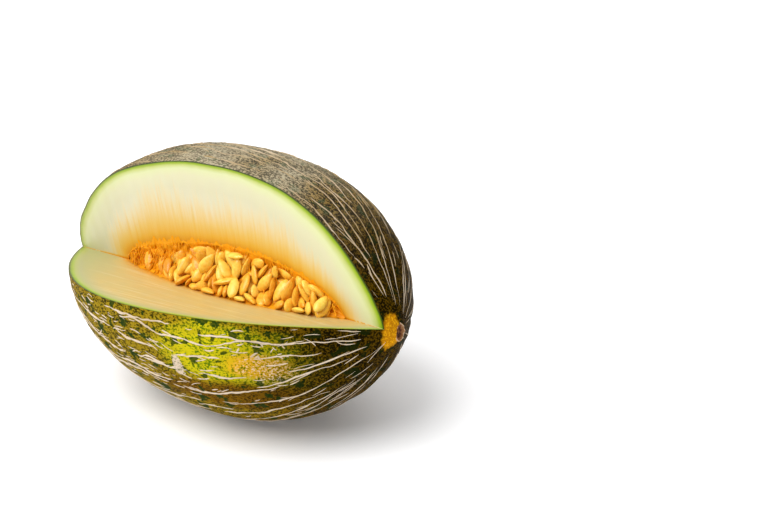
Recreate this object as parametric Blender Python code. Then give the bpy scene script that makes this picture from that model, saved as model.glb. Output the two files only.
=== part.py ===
"""Piel de sapo melon lying on its side with one wedge cut out, so that flesh, pulp and seeds show.

Run with: blender --background --python part.py, or from Blender's text editor.

The melon's axis runs along X, with the stalk at -X and the blossom scar at +X. The wedge opens towards -Y
and +Z. The floor is z = 0, and the origin is the middle of the flat spot that the melon rests on. Metres.

Three closed solids: melon (rind and flesh, which grew as one piece), pulp (the stringy seed bed, which
scoops out) and seeds (the seeds, fused to the mat of fibres that they lie in).
"""

import math
import random

import bmesh
import bpy
from mathutils import Matrix, Vector

# The whole fruit
LENGTH = 0.240
RADIUS = 0.073  # half the greatest width, level
HEIGHT_SHARE = 0.98  # the section is a little lower than it is wide
STALK_END = (2.05, 0.66)  # exponents of the profile towards -X, the blunter end
BLOSSOM_END = (2.85, 0.84)  # and towards +X, the more pointed end
FLAT_DEPTH = 0.002  # how much the resting spot takes off the roundness

# Ends: a short stub of the cut stalk, and the rimmed dish that the flower left
STALK_RADIUS = 0.0042
STALK_LENGTH = 0.0040
BLOSSOM_SCAR_RADIUS = 0.0062
SCAR_RIM_HEIGHT = 0.0009
SCAR_DISH_DEPTH = 0.0014

# Raised net of corky lines
NET_LINES = 36
NET_HEIGHT = 0.0010
NET_FOOT = 0.0012  # half the width of a line
NET_WANDER = 0.0017  # how far a line strays sideways at the middle
NET_CALM = 0.040  # within this of either end the lines run straight
SKIN_ROWS = 32

# The missing wedge. Its two faces meet in the cut line, which runs just in front of the axis.
CUT_LINE_AT_STALK = (-0.0155, -0.0040)  # (y, z) from the axis, at the -X end
CUT_LINE_AT_BLOSSOM = (-0.0075, 0.0020)  # and at the +X end
LOWER_FACE = math.radians(4.8)  # rise of the face that looks up, from -Y
UPPER_FACE = math.radians(81.4)  # rise of the face that looks out, from -Y
KNIFE_TWIST = math.radians(6.0)  # how far the knife turned from the middle to either end
CUTTER_ROWS = 18

# Seed cavity round the axis, which the pulp fills
CAVITY_RADIUS = 0.0275
CAVITY_ENDS = (-0.104, 0.100)
CAVITY_MIDDLE = 0.018
CAVITY_PROFILE = ((1.6, 0.7), (2.0, 0.7))  # exponents towards -X and +X
CAVITY_SIDES = 18
CAVITY_ROWS = 16
GAP = 0.0003

# Pulp: its front is a trough between the two cut faces, with strands along both edges
PULP_ROWS = 56
PULP_TRIM = 0.08  # share of the cavity's stations that it leaves free at each end
PULP_BACK = 12  # spans round the back
PULP_FRONT = 8  # spans across the trough
PULP_PEAK = math.radians(9)  # half the turn that the front keeps beyond the opened part
TROUGH_DEPTH = 0.0062
STRAND_HEIGHT = 0.0016
STRAND_SHARE = 0.26  # share of the front's width that the strands take, at each edge

# Seeds, in the mat that lies in the trough
SEED_LENGTH = 0.0122
SEED_WIDTH = 0.0060
SEED_THICKNESS = 0.0030
SEED_SIDES = 6
SEED_RINGS = ((0.18, 0.62), (0.55, 1.0), (0.90, 0.64))  # (share of the length, share of the girth)
SEED_SPACING = (0.0062, 0.0040)  # least distance between two, at the -X end and from the middle on
SEED_TRIES = 3000
SEED_TURNINGS = 30  # ways of lying that each seed tries, until it is clear of the flesh
MAT_THICKNESS = 0.0052
MAT_ROWS = 24
MAT_SHARES = (0.10, 0.22, 0.36, 0.50, 0.64, 0.78, 0.90)
RANDOM_SEED = 11

HALF = LENGTH / 2
AXIS_HEIGHT = RADIUS * HEIGHT_SHARE - FLAT_DEPTH


def clear_scene():
    """Leave an empty scene, and keep the file that this runs from."""
    for old in list(bpy.data.objects):
        bpy.data.objects.remove(old)


def make_material(name, colour, roughness):
    material = bpy.data.materials.new(name)
    material.use_nodes = True
    shader = material.node_tree.nodes["Principled BSDF"]
    shader.inputs["Base Color"].default_value = (*colour, 1.0)
    shader.inputs["Roughness"].default_value = roughness
    shader.inputs["Metallic"].default_value = 0.0
    return material


def make_object(name, points, faces, material=None):
    """A mesh object in the scene, with its faces turned outwards."""
    mesh = bpy.data.meshes.new(name)
    mesh.from_pydata([tuple(point) for point in points], [], faces)
    shape = bmesh.new()
    shape.from_mesh(mesh)
    bmesh.ops.recalc_face_normals(shape, faces=shape.faces)
    shape.to_mesh(mesh)
    shape.free()
    made = bpy.data.objects.new(name, mesh)
    bpy.context.scene.collection.objects.link(made)
    if material:
        mesh.materials.append(material)
    return made


def make_cutter(name, points, faces):
    cutter = make_object(name, points, faces)
    cutter.hide_render = True
    cutter.display_type = "WIRE"
    return cutter


def ring_faces(rows, columns):
    """Quads between neighbouring closed rings of points, and one face to close each end."""
    faces = []
    for row in range(rows - 1):
        low = row * columns
        high = low + columns
        for column in range(columns):
            after = (column + 1) % columns
            faces.append((low + column, low + after, high + after, high + column))
    faces.append(tuple(range(columns)))
    faces.append(tuple((rows - 1) * columns + column for column in range(columns)))
    return faces


def blend(start, end, share):
    return start + (end - start) * share


def ease(share):
    """0 to 1 with level ends."""
    share = min(1.0, max(0.0, share))
    return share * share * (3 - 2 * share)


def girth(x):
    """Radius of the bare fruit at x, level."""
    power, swell = BLOSSOM_END if x > 0 else STALK_END
    return RADIUS * max(0.0, 1 - (abs(x) / HALF) ** power) ** swell


def station_of(radius, side):
    """The x, towards side -1 or +1, at which the fruit has this radius."""
    power, swell = BLOSSOM_END if side > 0 else STALK_END
    return side * HALF * (1 - (radius / RADIUS) ** (1 / swell)) ** (1 / power)


def skin_point(x, turn, radius):
    """A point at this radius, above the floor. turn 0 looks along -Y, and a quarter turn looks up."""
    height = AXIS_HEIGHT + radius * HEIGHT_SHARE * math.sin(turn)
    return (x, -radius * math.cos(turn), max(height, 0.0))


def turn_of(y, z):
    """The turn of a point that lies (y, z) from the axis."""
    return math.atan2(z / HEIGHT_SHARE, -y)


def cut_line(x):
    """(y, z) of the wedge's inner edge at x, from the axis."""
    share = (x / HALF + 1) / 2
    return Vector(CUT_LINE_AT_STALK).lerp(Vector(CUT_LINE_AT_BLOSSOM), share)


def face_direction(x, rise):
    """(y, z) of the way that a cut face runs outwards at x."""
    turned = rise + KNIFE_TWIST * x / HALF
    return Vector((-math.cos(turned), math.sin(turned)))


def net_rule(rng):
    """Where each corky line runs: its turn at the middle, its two waves, and the wave of its height."""
    lines = []
    for index in range(NET_LINES):
        lines.append(
            {
                "turn": math.tau * (index + rng.uniform(-0.14, 0.14)) / NET_LINES,
                "waves": [
                    (rng.uniform(0.070, 0.120), rng.uniform(0, math.tau), 0.65),
                    (rng.uniform(0.030, 0.045), rng.uniform(0, math.tau), 0.35),
                ],
                "swell": (rng.uniform(0.040, 0.090), rng.uniform(0, math.tau)),
            }
        )
    return lines


def line_turn(line, x):
    stray = sum(
        size * math.sin(math.tau * x / length + start)
        for length, start, size in line["waves"]
    )
    return line["turn"] + NET_WANDER / RADIUS * stray * ease((HALF - abs(x)) / NET_CALM)


def line_height(line, x):
    """Height of a line over the skin. It sinks away where the line is broken."""
    length, start = line["swell"]
    return NET_HEIGHT * max(0.0, 0.5 + 0.6 * math.sin(math.tau * x / length + start))


def skin_ring(x, lines):
    """One ring of the skin: foot, crest and foot for each corky line."""
    radius = girth(x)
    foot = min(NET_FOOT / radius, 0.28 * math.tau / NET_LINES)
    ring = []
    for line in lines:
        turn = line_turn(line, x)
        ring.append(skin_point(x, turn - foot, radius))
        ring.append(skin_point(x, turn, radius + line_height(line, x)))
        ring.append(skin_point(x, turn + foot, radius))
    return ring


def plain_ring(x, radius, around):
    """A round ring on the turns of the ring around it."""
    return [skin_point(x, turn_of(y, z - AXIS_HEIGHT), radius) for _, y, z in around]


def build_melon(material):
    """Rind and flesh: the whole fruit less the wedge and the seed cavity."""
    lines = net_rule(random.Random(RANDOM_SEED))
    stalk_x = station_of(1.25 * STALK_RADIUS, -1)
    blossom_x = station_of(BLOSSOM_SCAR_RADIUS, 1)
    start = math.acos(-stalk_x / HALF)
    end = math.acos(-blossom_x / HALF)
    skin = []
    for row in range(SKIN_ROWS):
        x = -HALF * math.cos(blend(start, end, row / (SKIN_ROWS - 1)))
        skin.append(skin_ring(x, lines))
    tip_x = stalk_x - STALK_LENGTH
    stalk = [
        plain_ring(tip_x, 0.55 * STALK_RADIUS, skin[0]),
        plain_ring(tip_x, STALK_RADIUS, skin[0]),
        plain_ring(stalk_x - 0.15 * STALK_LENGTH, 0.92 * STALK_RADIUS, skin[0]),
    ]
    scar = [
        plain_ring(blossom_x + SCAR_RIM_HEIGHT, 0.78 * BLOSSOM_SCAR_RADIUS, skin[-1]),
        plain_ring(blossom_x - SCAR_DISH_DEPTH, 0.40 * BLOSSOM_SCAR_RADIUS, skin[-1]),
    ]
    rings = stalk + skin + scar
    points = [point for ring in rings for point in ring]
    melon = make_object(
        "melon", points, ring_faces(len(rings), len(skin[0])), material
    )
    cut(melon, wedge_cutter())
    cut(melon, cavity_cutter())
    return melon


def cut(target, cutter):
    boolean = target.modifiers.new(cutter.name, "BOOLEAN")
    boolean.operation = "DIFFERENCE"
    boolean.solver = "EXACT"
    boolean.object = cutter


def wedge_cutter():
    """The wedge that was cut out, a little longer and wider than the fruit."""
    reach = 2.2 * RADIUS
    points = []
    for row in range(CUTTER_ROWS + 1):
        x = blend(-1.15 * HALF, 1.15 * HALF, row / CUTTER_ROWS)
        line = cut_line(x)
        points.append((x, line.x, AXIS_HEIGHT + line.y))
        for share in (0.0, 0.35, 0.65, 1.0):
            corner = line + reach * face_direction(
                x, blend(LOWER_FACE, UPPER_FACE, share)
            )
            points.append((x, corner.x, AXIS_HEIGHT + corner.y))
    return make_cutter("wedge_cutter", points, ring_faces(CUTTER_ROWS + 1, 5))


def cavity_girth(x):
    """Radius of the seed cavity at x."""
    side = x > CAVITY_MIDDLE
    power, swell = CAVITY_PROFILE[side]
    share = min(1.0, (x - CAVITY_MIDDLE) / (CAVITY_ENDS[side] - CAVITY_MIDDLE))
    return CAVITY_RADIUS * (1 - share**power) ** swell


def cavity_station(share):
    """An x along the cavity, with the stations closer towards both ends."""
    return blend(*CAVITY_ENDS, (1 - math.cos(math.pi * share)) / 2)


def cavity_cutter():
    """The hollow that the seed bed fills, its flat sides a gap outside the round pulp."""
    out_of_round = 1 / math.cos(math.pi / CAVITY_SIDES)
    points = []
    for row in range(1, CAVITY_ROWS):
        x = cavity_station(row / CAVITY_ROWS)
        for side in range(CAVITY_SIDES):
            turn = math.tau * side / CAVITY_SIDES
            radius = out_of_round * (cavity_girth(x) + GAP)
            points.append(skin_point(x, turn, radius))
    return make_cutter(
        "cavity_cutter", points, ring_faces(CAVITY_ROWS - 1, CAVITY_SIDES)
    )


def front_ends(x):
    """The ends of the pulp's front at x as (y, z).

    Each is where a cut face leaves the cavity. Where the knife missed the cavity, they are two close turns.
    """
    radius = cavity_girth(x) - GAP
    line = cut_line(x)
    ends = []
    for rise, side in ((UPPER_FACE, 1), (LOWER_FACE, -1)):
        way = face_direction(x, rise)
        reach_start = Vector((line.x, line.y / HEIGHT_SHARE))
        reach_way = Vector((way.x, way.y / HEIGHT_SHARE))
        along = reach_start.dot(reach_way)
        square = reach_way.length_squared
        inside = along**2 - square * (reach_start.length_squared - radius**2)
        reach = (math.sqrt(inside) - along) / square if inside > 0 else -1.0
        if reach > 0.001 and reach_start.length < radius:
            ends.append(line + reach * way)
        else:
            turn = turn_of(*line) + side * PULP_PEAK
            ends.append(
                radius * Vector((-math.cos(turn), HEIGHT_SHARE * math.sin(turn)))
            )
    return ends


def is_open(x):
    """Whether the knife opened the cavity at x."""
    return cut_line(x).length < 0.94 * (cavity_girth(x) - GAP)


def open_stations():
    """The x range in which the knife opened the cavity."""
    steps = 400
    opened = [
        blend(*CAVITY_ENDS, step / steps)
        for step in range(1, steps)
        if is_open(blend(*CAVITY_ENDS, step / steps))
    ]
    return opened[0], opened[-1]


def front_point(x, share, height):
    """A point over the trough's chord. share 0 is the upper face's end and 1 the lower face's."""
    upper, lower = front_ends(x)
    chord = lower - upper
    outward = Vector((chord.y, -chord.x)).normalized()
    place = upper + share * chord + height * outward
    return Vector((x, place.x, AXIS_HEIGHT + place.y))


def front_width(x):
    upper, lower = front_ends(x)
    return (lower - upper).length


def hump(share):
    """0 at both edges of the front and 1 in its middle."""
    return 4 * share * (1 - share)


def strand(share):
    """How much of its full height a strand has at this share of the front."""
    return STRAND_HEIGHT * ease(1 - min(share, 1 - share) / STRAND_SHARE)


def trough(x, share):
    """Height of the trough's floor over the chord, below 0."""
    return -min(TROUGH_DEPTH, 0.28 * front_width(x)) * hump(share) ** 0.8


def build_pulp(material):
    """The seed bed: round at the back, where it fills the cavity, with a stranded trough in front."""
    rows = []
    for row in range(PULP_ROWS + 1):
        x = cavity_station(blend(PULP_TRIM, 1 - PULP_TRIM, row / PULP_ROWS))
        radius = cavity_girth(x) - GAP
        upper, lower = front_ends(x)
        start = turn_of(*lower)
        end = turn_of(*upper) - math.tau
        ring = []
        for span in range(PULP_BACK + 1):
            ring.append(skin_point(x, blend(start, end, span / PULP_BACK), radius))
        for span in range(1, PULP_FRONT):
            share = span / PULP_FRONT
            if is_open(x):
                height = trough(x, share) + strand(share) * (row % 2)
                ring.append(front_point(x, share, height))
            else:
                turn = blend(end + math.tau, start, share)
                ring.append(skin_point(x, turn, radius))
        rows.append(ring)
    points = [point for ring in rows for point in ring]
    faces = ring_faces(len(rows), PULP_BACK + PULP_FRONT)
    return make_object("pulp", points, faces, material)


def seed_mesh():
    """One seed along X, flat in Z: pointed at the end that grew on the pulp, round at the other."""
    points = [(-SEED_LENGTH / 2, 0.0, 0.0)]
    for along, swell in SEED_RINGS:
        for side in range(SEED_SIDES):
            turn = math.tau * side / SEED_SIDES
            across = SEED_WIDTH / 2 * swell * math.cos(turn)
            up = SEED_THICKNESS / 2 * swell * math.sin(turn)
            points.append((SEED_LENGTH * (along - 0.5), across, up))
    points.append((SEED_LENGTH / 2, 0.0, 0.0))
    faces = []
    last = 1 + (len(SEED_RINGS) - 1) * SEED_SIDES
    for side in range(SEED_SIDES):
        after = (side + 1) % SEED_SIDES
        faces.append((0, 1 + after, 1 + side))
        faces.append((len(points) - 1, last + side, last + after))
        for ring in range(len(SEED_RINGS) - 1):
            low = 1 + ring * SEED_SIDES
            high = low + SEED_SIDES
            faces.append((low + side, low + after, high + after, high + side))
    return points, faces


def is_clear(point):
    """Whether a point lies a gap in front of the trough and of both cut faces."""
    x = min(max(point.x, open_ends[0]), open_ends[1])
    upper, lower = front_ends(x)
    chord = lower - upper
    place = Vector((point.y, point.z - AXIS_HEIGHT))
    share = (place - upper).dot(chord) / chord.length_squared
    height = (place - upper).dot(Vector((chord.y, -chord.x)).normalized())
    within = min(max(share, 0.0), 1.0)
    if height < trough(x, within) + strand(within) + GAP:
        return False
    from_line = place - cut_line(x)
    above = face_direction(x, UPPER_FACE)
    below = face_direction(x, LOWER_FACE)
    off_upper = from_line.dot(Vector((-above.y, above.x)))
    off_lower = from_line.dot(Vector((below.y, -below.x)))
    if share < 0.15 and off_upper < 2 * GAP:
        return False
    return share < 0.85 or off_lower > 2 * GAP


def seed_spacing(x):
    """Least distance between seeds at x: they lie thinner towards the stalk."""
    return blend(*SEED_SPACING, ease((x - CAVITY_ENDS[0]) / (0.9 * -CAVITY_ENDS[0])))


def seed_places(rng):
    """(x, share) of every seed: as many as find room between the others."""
    first, last = open_ends
    places = []
    for _ in range(SEED_TRIES):
        x = rng.uniform(first + 0.008, last - 0.005)
        # towards the stalk the strands cover the upper edge
        share = rng.uniform(blend(0.36, 0.13, ease((x + 0.050) / 0.040)), 0.87)
        width = front_width(x)
        crowded = any(
            math.hypot(x - other_x, (share - other_share) * width) < seed_spacing(x)
            for other_x, other_share in places
        )
        if width > 0.008 and not crowded:
            places.append((x, share))
    return places


def bed_frame(x, share, height):
    """Matrix of a spot over the trough: X along the melon, Y across the trough, Z outwards."""
    upper, lower = front_ends(x)
    across = Vector((0.0, *(upper - lower))).normalized()
    along = Vector((1.0, 0.0, 0.0))
    frame = Matrix((along, across, along.cross(across))).transposed().to_4x4()
    frame.translation = front_point(x, share, height)
    return frame


def mat_floor(x, share):
    return trough(x, share) + strand(share) + 1.5 * GAP


def mat_top(x, share):
    thickness = MAT_THICKNESS * min(1.0, front_width(x) / 0.022)
    return mat_floor(x, share) + thickness * hump(share) ** 0.9


def laid_seed(corners, x, share, rng):
    """The corners of one seed that lies in the mat, or None where it has no room."""
    lean = 34 if x > -0.03 else 62
    for turning in range(SEED_TURNINGS):
        turn = 90 + rng.uniform(-lean, lean) + 180 * rng.randint(0, 1)
        lie = (
            Matrix.Rotation(math.radians(turn), 4, "Z")
            @ Matrix.Rotation(math.radians(rng.uniform(-15, 15)), 4, "Y")
            @ Matrix.Rotation(math.radians(rng.uniform(-34, 34)), 4, "X")
        )
        height = mat_top(x, share) + rng.uniform(-0.0003, 0.0016) + 0.0001 * turning
        frame = bed_frame(x, share, height) @ lie
        placed = [frame @ Vector(corner) for corner in corners]
        if all(is_clear(corner) for corner in placed):
            return placed
    return None


def build_mat(name):
    """The mat of pulp fibres in the trough, which the seeds are fused to."""
    first, last = open_ends
    points = []
    for row in range(MAT_ROWS + 1):
        x = blend(first + 0.005, last - 0.004, row / MAT_ROWS)
        for share in MAT_SHARES:
            points.append(front_point(x, share, mat_floor(x, share)))
        for share in reversed(MAT_SHARES):
            points.append(front_point(x, share, mat_top(x, share)))
    return make_object(name, points, ring_faces(MAT_ROWS + 1, 2 * len(MAT_SHARES)))


def keep_largest_piece(mesh):
    """Drop what hangs free of the main body, as a seed that touched no other."""
    shape = bmesh.new()
    shape.from_mesh(mesh)
    left = set(shape.verts)
    pieces = []
    while left:
        reached = {left.pop()}
        edge = set(reached)
        while edge:
            edge = {e.other_vert(v) for v in edge for e in v.link_edges} - reached
            reached |= edge
        left -= reached
        pieces.append(reached)
    main = max(pieces, key=len)
    loose = [vert for vert in shape.verts if vert not in main]
    bmesh.ops.delete(shape, geom=loose, context="VERTS")
    shape.to_mesh(mesh)
    shape.free()


def build_seeds(material):
    """All the seeds and their mat, joined into one body."""
    rng = random.Random(RANDOM_SEED + 1)
    corners, seed_faces = seed_mesh()
    seeds = build_mat("seeds")
    loose = bpy.data.collections.new("loose_seeds")
    bpy.context.scene.collection.children.link(loose)
    for x, share in seed_places(rng):
        placed = laid_seed(corners, x, share, rng)
        if placed is None:
            continue
        seed = make_object(f"seed_{len(loose.objects):03d}", placed, seed_faces)
        bpy.context.scene.collection.objects.unlink(seed)
        loose.objects.link(seed)
    union = seeds.modifiers.new("join_seeds", "BOOLEAN")
    union.operation = "UNION"
    union.operand_type = "COLLECTION"
    union.collection = loose
    union.solver = "EXACT"
    graph = bpy.context.evaluated_depsgraph_get()
    joined = bpy.data.meshes.new_from_object(seeds.evaluated_get(graph))
    keep_largest_piece(joined)
    seeds.modifiers.clear()
    seeds.data = joined
    joined.materials.clear()
    joined.materials.append(material)
    for seed in list(loose.objects):
        bpy.data.objects.remove(seed)
    bpy.data.collections.remove(loose)
    return seeds


clear_scene()
open_ends = open_stations()
build_melon(make_material("rind", (0.16, 0.19, 0.05), 0.45))
build_pulp(make_material("pulp", (0.90, 0.52, 0.10), 0.30))
build_seeds(make_material("seed", (0.93, 0.74, 0.38), 0.35))
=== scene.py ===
"""The looks of a piel de sapo melon that lies on its side with one wedge cut out.

The file is laid out as an add-on and run as a script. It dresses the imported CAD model: the melon's axis
runs along X, with the stalk at -X and the blossom scar at +X, and the wedge opens towards -Y and +Z.
The floor is z = 0. Sizes are in metres.
"""

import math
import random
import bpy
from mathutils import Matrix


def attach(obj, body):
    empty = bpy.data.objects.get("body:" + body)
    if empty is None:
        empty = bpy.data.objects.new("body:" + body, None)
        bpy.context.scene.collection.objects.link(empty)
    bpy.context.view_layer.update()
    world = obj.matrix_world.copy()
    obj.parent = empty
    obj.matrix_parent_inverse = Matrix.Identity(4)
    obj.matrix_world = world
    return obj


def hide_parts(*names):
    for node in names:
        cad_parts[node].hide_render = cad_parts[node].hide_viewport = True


bl_info = {
    "name": "Cut Melon",
    "version": (1, 0, 0),
    "blender": (4, 5, 0),
    "location": "View3D > Sidebar > Melon",
    "description": "Makes the rind, flesh, corky net, pulp and seeds of a melon with one wedge cut out",
    "category": "Object",
}

from collections import namedtuple

import bmesh
import bpy
import numpy as np
from bpy.props import FloatProperty, FloatVectorProperty, IntProperty, PointerProperty
from mathutils import Matrix, Vector

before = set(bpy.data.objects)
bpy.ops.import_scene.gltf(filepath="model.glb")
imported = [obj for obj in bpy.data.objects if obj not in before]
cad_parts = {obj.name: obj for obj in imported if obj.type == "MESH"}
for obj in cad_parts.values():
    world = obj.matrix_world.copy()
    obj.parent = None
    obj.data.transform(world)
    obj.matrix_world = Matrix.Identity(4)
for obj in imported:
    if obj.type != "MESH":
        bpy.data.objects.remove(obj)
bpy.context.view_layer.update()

MM = 0.001

# The fruit's rule, the same as the solids follow
LENGTH = 0.240
HALF = LENGTH / 2
RADIUS = 0.073
HEIGHT_SHARE = 0.98  # the section is a little lower than it is wide
STALK_END = (2.05, 0.66)  # exponents of the profile towards -X
BLOSSOM_END = (2.85, 0.84)  # and towards +X
FLAT_DEPTH = 0.002
AXIS_HEIGHT = RADIUS * HEIGHT_SHARE - FLAT_DEPTH
STALK_RADIUS = 0.0042
STALK_LENGTH = 0.0040
BLOSSOM_SCAR_RADIUS = 0.0062
SCAR_SHIFT = 2.2 * MM  # the scar sits a little to the back of the axis
SCAR_DROP = 1.9 * MM  # and below it

# The wedge, whose two faces meet in the cut line
CUT_LINE_AT_STALK = (-0.0155, -0.0040)  # (y, z) from the axis
CUT_LINE_AT_BLOSSOM = (-0.0075, 0.0020)
LOWER_FACE = math.radians(4.8)
UPPER_FACE = math.radians(81.4)
FACES = (UPPER_FACE, LOWER_FACE)
KNIFE_TWIST = math.radians(6.0)

# The seed cavity
CAVITY_RADIUS = 0.0275
CAVITY_ENDS = (-0.104, 0.100)
CAVITY_MIDDLE = 0.018
CAVITY_PROFILE = ((1.6, 0.7), (2.0, 0.7))  # exponents towards the stalk and the blossom
TROUGH_DEPTH = 0.0062

# The solids' corky lines
CAD_LINES = 36
CAD_LINE_SEED = 11
NET_WANDER = 0.0017
NET_CALM = 0.040

# How finely the pieces are divided
CAP_SHARES = (0.93, 0.85, 0.76, 0.66, 0.55, 0.42, 0.28, 0.13, 0.0)  # rings of an end's cap, inwards
INNER_COLUMNS = 144  # steps round the rind's inner side
FACE_COLUMNS = 50  # points across a cut face
CAVITY_COLUMNS = 20  # steps round the back of the cavity
SHARP_ANGLE = math.radians(48)
MERGE_DISTANCE = 1e-6
PULP_ROWS = 430
PULP_BACK = 12  # steps round the back of the pulp
PULP_FRONT = 46  # steps across its front
LIP_STEPS = 6
FIBRE_POINTS = 9
SEED_SIDES = 12
SEED_RINGS = 9

# What random draws start from
RELIEF_SEED = 5
NET_SEED = 21
SCAR_SEED = 8
PULP_SEED = 31
FIBRE_SEED = 41
HEAP_SEED = 17
TONE_SEED = 19

# How the seeds settle, each as eight balls
SEED_BALLS = (
    # along, across, radius, as shares of length, width and thickness
    (-0.39, 0.0, 0.80),
    (-0.22, 0.17, 0.92),
    (-0.22, -0.17, 0.92),
    (0.0, 0.26, 1.0),
    (0.0, -0.26, 1.0),
    (0.22, 0.20, 0.92),
    (0.22, -0.20, 0.92),
    (0.38, 0.0, 0.85),
)
SETTLE_STEPS = 300
FAST_STEPS = 210  # of them
FAST_SINK = 0.15 * MM
SLOW_SINK = 0.03 * MM
PAIR_EVERY = 6  # steps between two searches for balls that may touch
PAIR_REACH = 1.6 * MM

# The camera and the lights
CAMERA_PLACE = (0.515885, -0.462983, AXIS_HEIGHT + 0.243994)
CAMERA_LOOKS = (-0.62595, 0.70924, -0.32429)
CAMERA_LENS = 63.38
CAMERA_SENSOR = 36.0
SUNS = (
    # name, where it stands, share of the key light's strength, degrees that it spans
    ("key_light", (-0.10, -0.72, 0.95), 1.0, 50),
    ("back_light", (-0.30, 0.35, 0.90), 0.30, 90),
)
BRIGHT_SIDE = (-0.62, -0.20, 0.75)  # where the studio is brightest
FLOOR_DROP = 0.0001  # how far the floor lies under the melon


def linear(hex_colour):
    """Linear red, green, blue and alpha of an sRGB hex colour."""
    parts = [int(hex_colour[place : place + 2], 16) / 255 for place in (1, 3, 5)]
    return tuple(
        part / 12.92 if part <= 0.04045 else ((part + 0.055) / 1.055) ** 2.4 for part in parts
    ) + (1.0,)


def colour_property(name, description, hex_colour):
    """A colour that a user may change, given as sRGB hex."""
    return FloatVectorProperty(
        name=name,
        description=description,
        subtype="COLOR",
        size=4,
        min=0.0,
        max=1.0,
        default=linear(hex_colour),
    )


def length_property(name, description, default):
    """A length in metres that a user may change."""
    return FloatProperty(
        name=name,
        description=description,
        subtype="DISTANCE",
        unit="LENGTH",
        min=0.0,
        precision=5,
        default=default,
    )


# Numbers and curves


def blend(start, end, share):
    """The value that lies this share of the way from start to end."""
    return start + (end - start) * share


def smooth(low, high, value):
    """0 at low and 1 at high, with an even S between them; low may be the greater."""
    share = np.clip((value - low) / (high - low), 0.0, 1.0)
    return share * share * (3 - 2 * share)


def wander(rng, place, cell):
    """A smooth random curve from -1 to 1 over an array of places, with one free value per cell."""
    low = np.min(place)
    cells = (place - low) / cell
    knots = rng.uniform(-1, 1, int(np.max(cells)) + 2)
    before = np.floor(cells).astype(int)
    return blend(knots[before], knots[before + 1], smooth(0, 1, cells - before))


def girth(x):
    """Radius of the bare fruit at x."""
    x = np.asarray(x, float)
    power = np.where(x > 0, BLOSSOM_END[0], STALK_END[0])
    swell = np.where(x > 0, BLOSSOM_END[1], STALK_END[1])
    return RADIUS * np.maximum(0.0, 1 - (np.abs(x) / HALF) ** power) ** swell


def station_of(radius, side):
    """The x, towards side -1 or +1, at which the fruit has this radius."""
    power, swell = BLOSSOM_END if side > 0 else STALK_END
    return side * HALF * (1 - (radius / RADIUS) ** (1 / swell)) ** (1 / power)


STALK_X = station_of(1.25 * STALK_RADIUS, -1)
BLOSSOM_X = station_of(BLOSSOM_SCAR_RADIUS, 1)


def relief(x, turn):
    """Height over the bare fruit of the skin's low waves, its dents and the pleats at both ends."""
    sizes = bpy.context.scene.melon_body
    rng = np.random.default_rng(RELIEF_SEED)
    height = 0.0
    for count in (2, 3, 4, 5, 7, 9):
        length, start = rng.uniform(0.07, 0.20), rng.uniform(0, math.tau)
        height += sizes.wave_height / 4 * np.sin(count * turn + math.tau * x / length + start)
    pleats = 0.0
    for count in (11, 15, 19, 24, 30):
        length, start = rng.uniform(0.10, 0.20), rng.uniform(0, math.tau)
        drift = 0.7 * np.sin(math.tau * x / length + start)
        pleats += np.sin(count * turn + drift + 3 * start) / 3
    at_blossom = smooth(0.030, 0.100, x)
    at_stalk = 0.6 * smooth(-0.060, -0.105, x)
    height += sizes.pleat_height * (0.12 + at_blossom + at_stalk) * pleats
    for count in (18, 23, 29, 34, 41):
        length, start = rng.uniform(0.018, 0.040), rng.uniform(0, math.tau)
        sway = 1.2 * np.sin(3 * turn + 60 * x + start)
        height += (
            sizes.dent_height
            / 3
            * np.sin(count * turn + sway)
            * np.sin(math.tau * x / length + start)
        )
    return height * smooth(0.002, 0.030, girth(x))


def skin_radius(x, turn):
    """Radius of the skin round the axis, with its relief."""
    return girth(x) + relief(x, turn)


def turn_of(y, z):
    """The turn of a point (y, z) from the axis: 0 looks along -Y, and a quarter turn looks up."""
    return np.arctan2(z / HEIGHT_SHARE, -y)


def place_at(x, turn, radius, floor=0.0):
    """Points at this turn and radius round the axis, none below the floor."""
    x, turn, radius = np.broadcast_arrays(x, turn, radius)
    height = AXIS_HEIGHT + radius * HEIGHT_SHARE * np.sin(turn)
    return np.stack([x, -radius * np.cos(turn), np.maximum(height, floor)], axis=-1)


def cut_line(x):
    """(y, z) of the wedge's inner edge at x, from the axis."""
    share = (np.asarray(x, float) / HALF + 1) / 2
    start, end = np.array(CUT_LINE_AT_STALK), np.array(CUT_LINE_AT_BLOSSOM)
    return start + (end - start) * share[..., None]


def face_way(x, rise):
    """(y, z) of the way that a cut face runs outwards at x."""
    turned = rise + KNIFE_TWIST * np.asarray(x, float) / HALF
    return np.stack([-np.cos(turned), np.sin(turned)], axis=-1)


def off_faces(x, y, z):
    """How far a point, (y, z) from the axis, stands off the upper and the lower cut face."""
    line = cut_line(x)
    above, below = face_way(x, UPPER_FACE), face_way(x, LOWER_FACE)
    y, z = y - line[..., 0], z - line[..., 1]
    return (-y * above[..., 1] + z * above[..., 0], y * below[..., 1] - z * below[..., 0])


def circle_exit(x, rise, radius_at):
    """How far from the cut line a cut face runs to the surface that radius_at gives, at every x."""
    line, way = cut_line(x), face_way(x, rise)
    start = line / (1, HEIGHT_SHARE)
    go = way / (1, HEIGHT_SHARE)
    along = (start * go).sum(-1)
    square = (go * go).sum(-1)
    reach = np.zeros_like(along)
    for _ in range(14):
        spot = start + reach[..., None] * go
        radius = radius_at(x, np.arctan2(spot[..., 1], -spot[..., 0]))
        inside = along**2 - square * ((start * start).sum(-1) - radius**2)
        reach = np.maximum((np.sqrt(np.maximum(inside, 0)) - along) / square, 0)
    return reach


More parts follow.
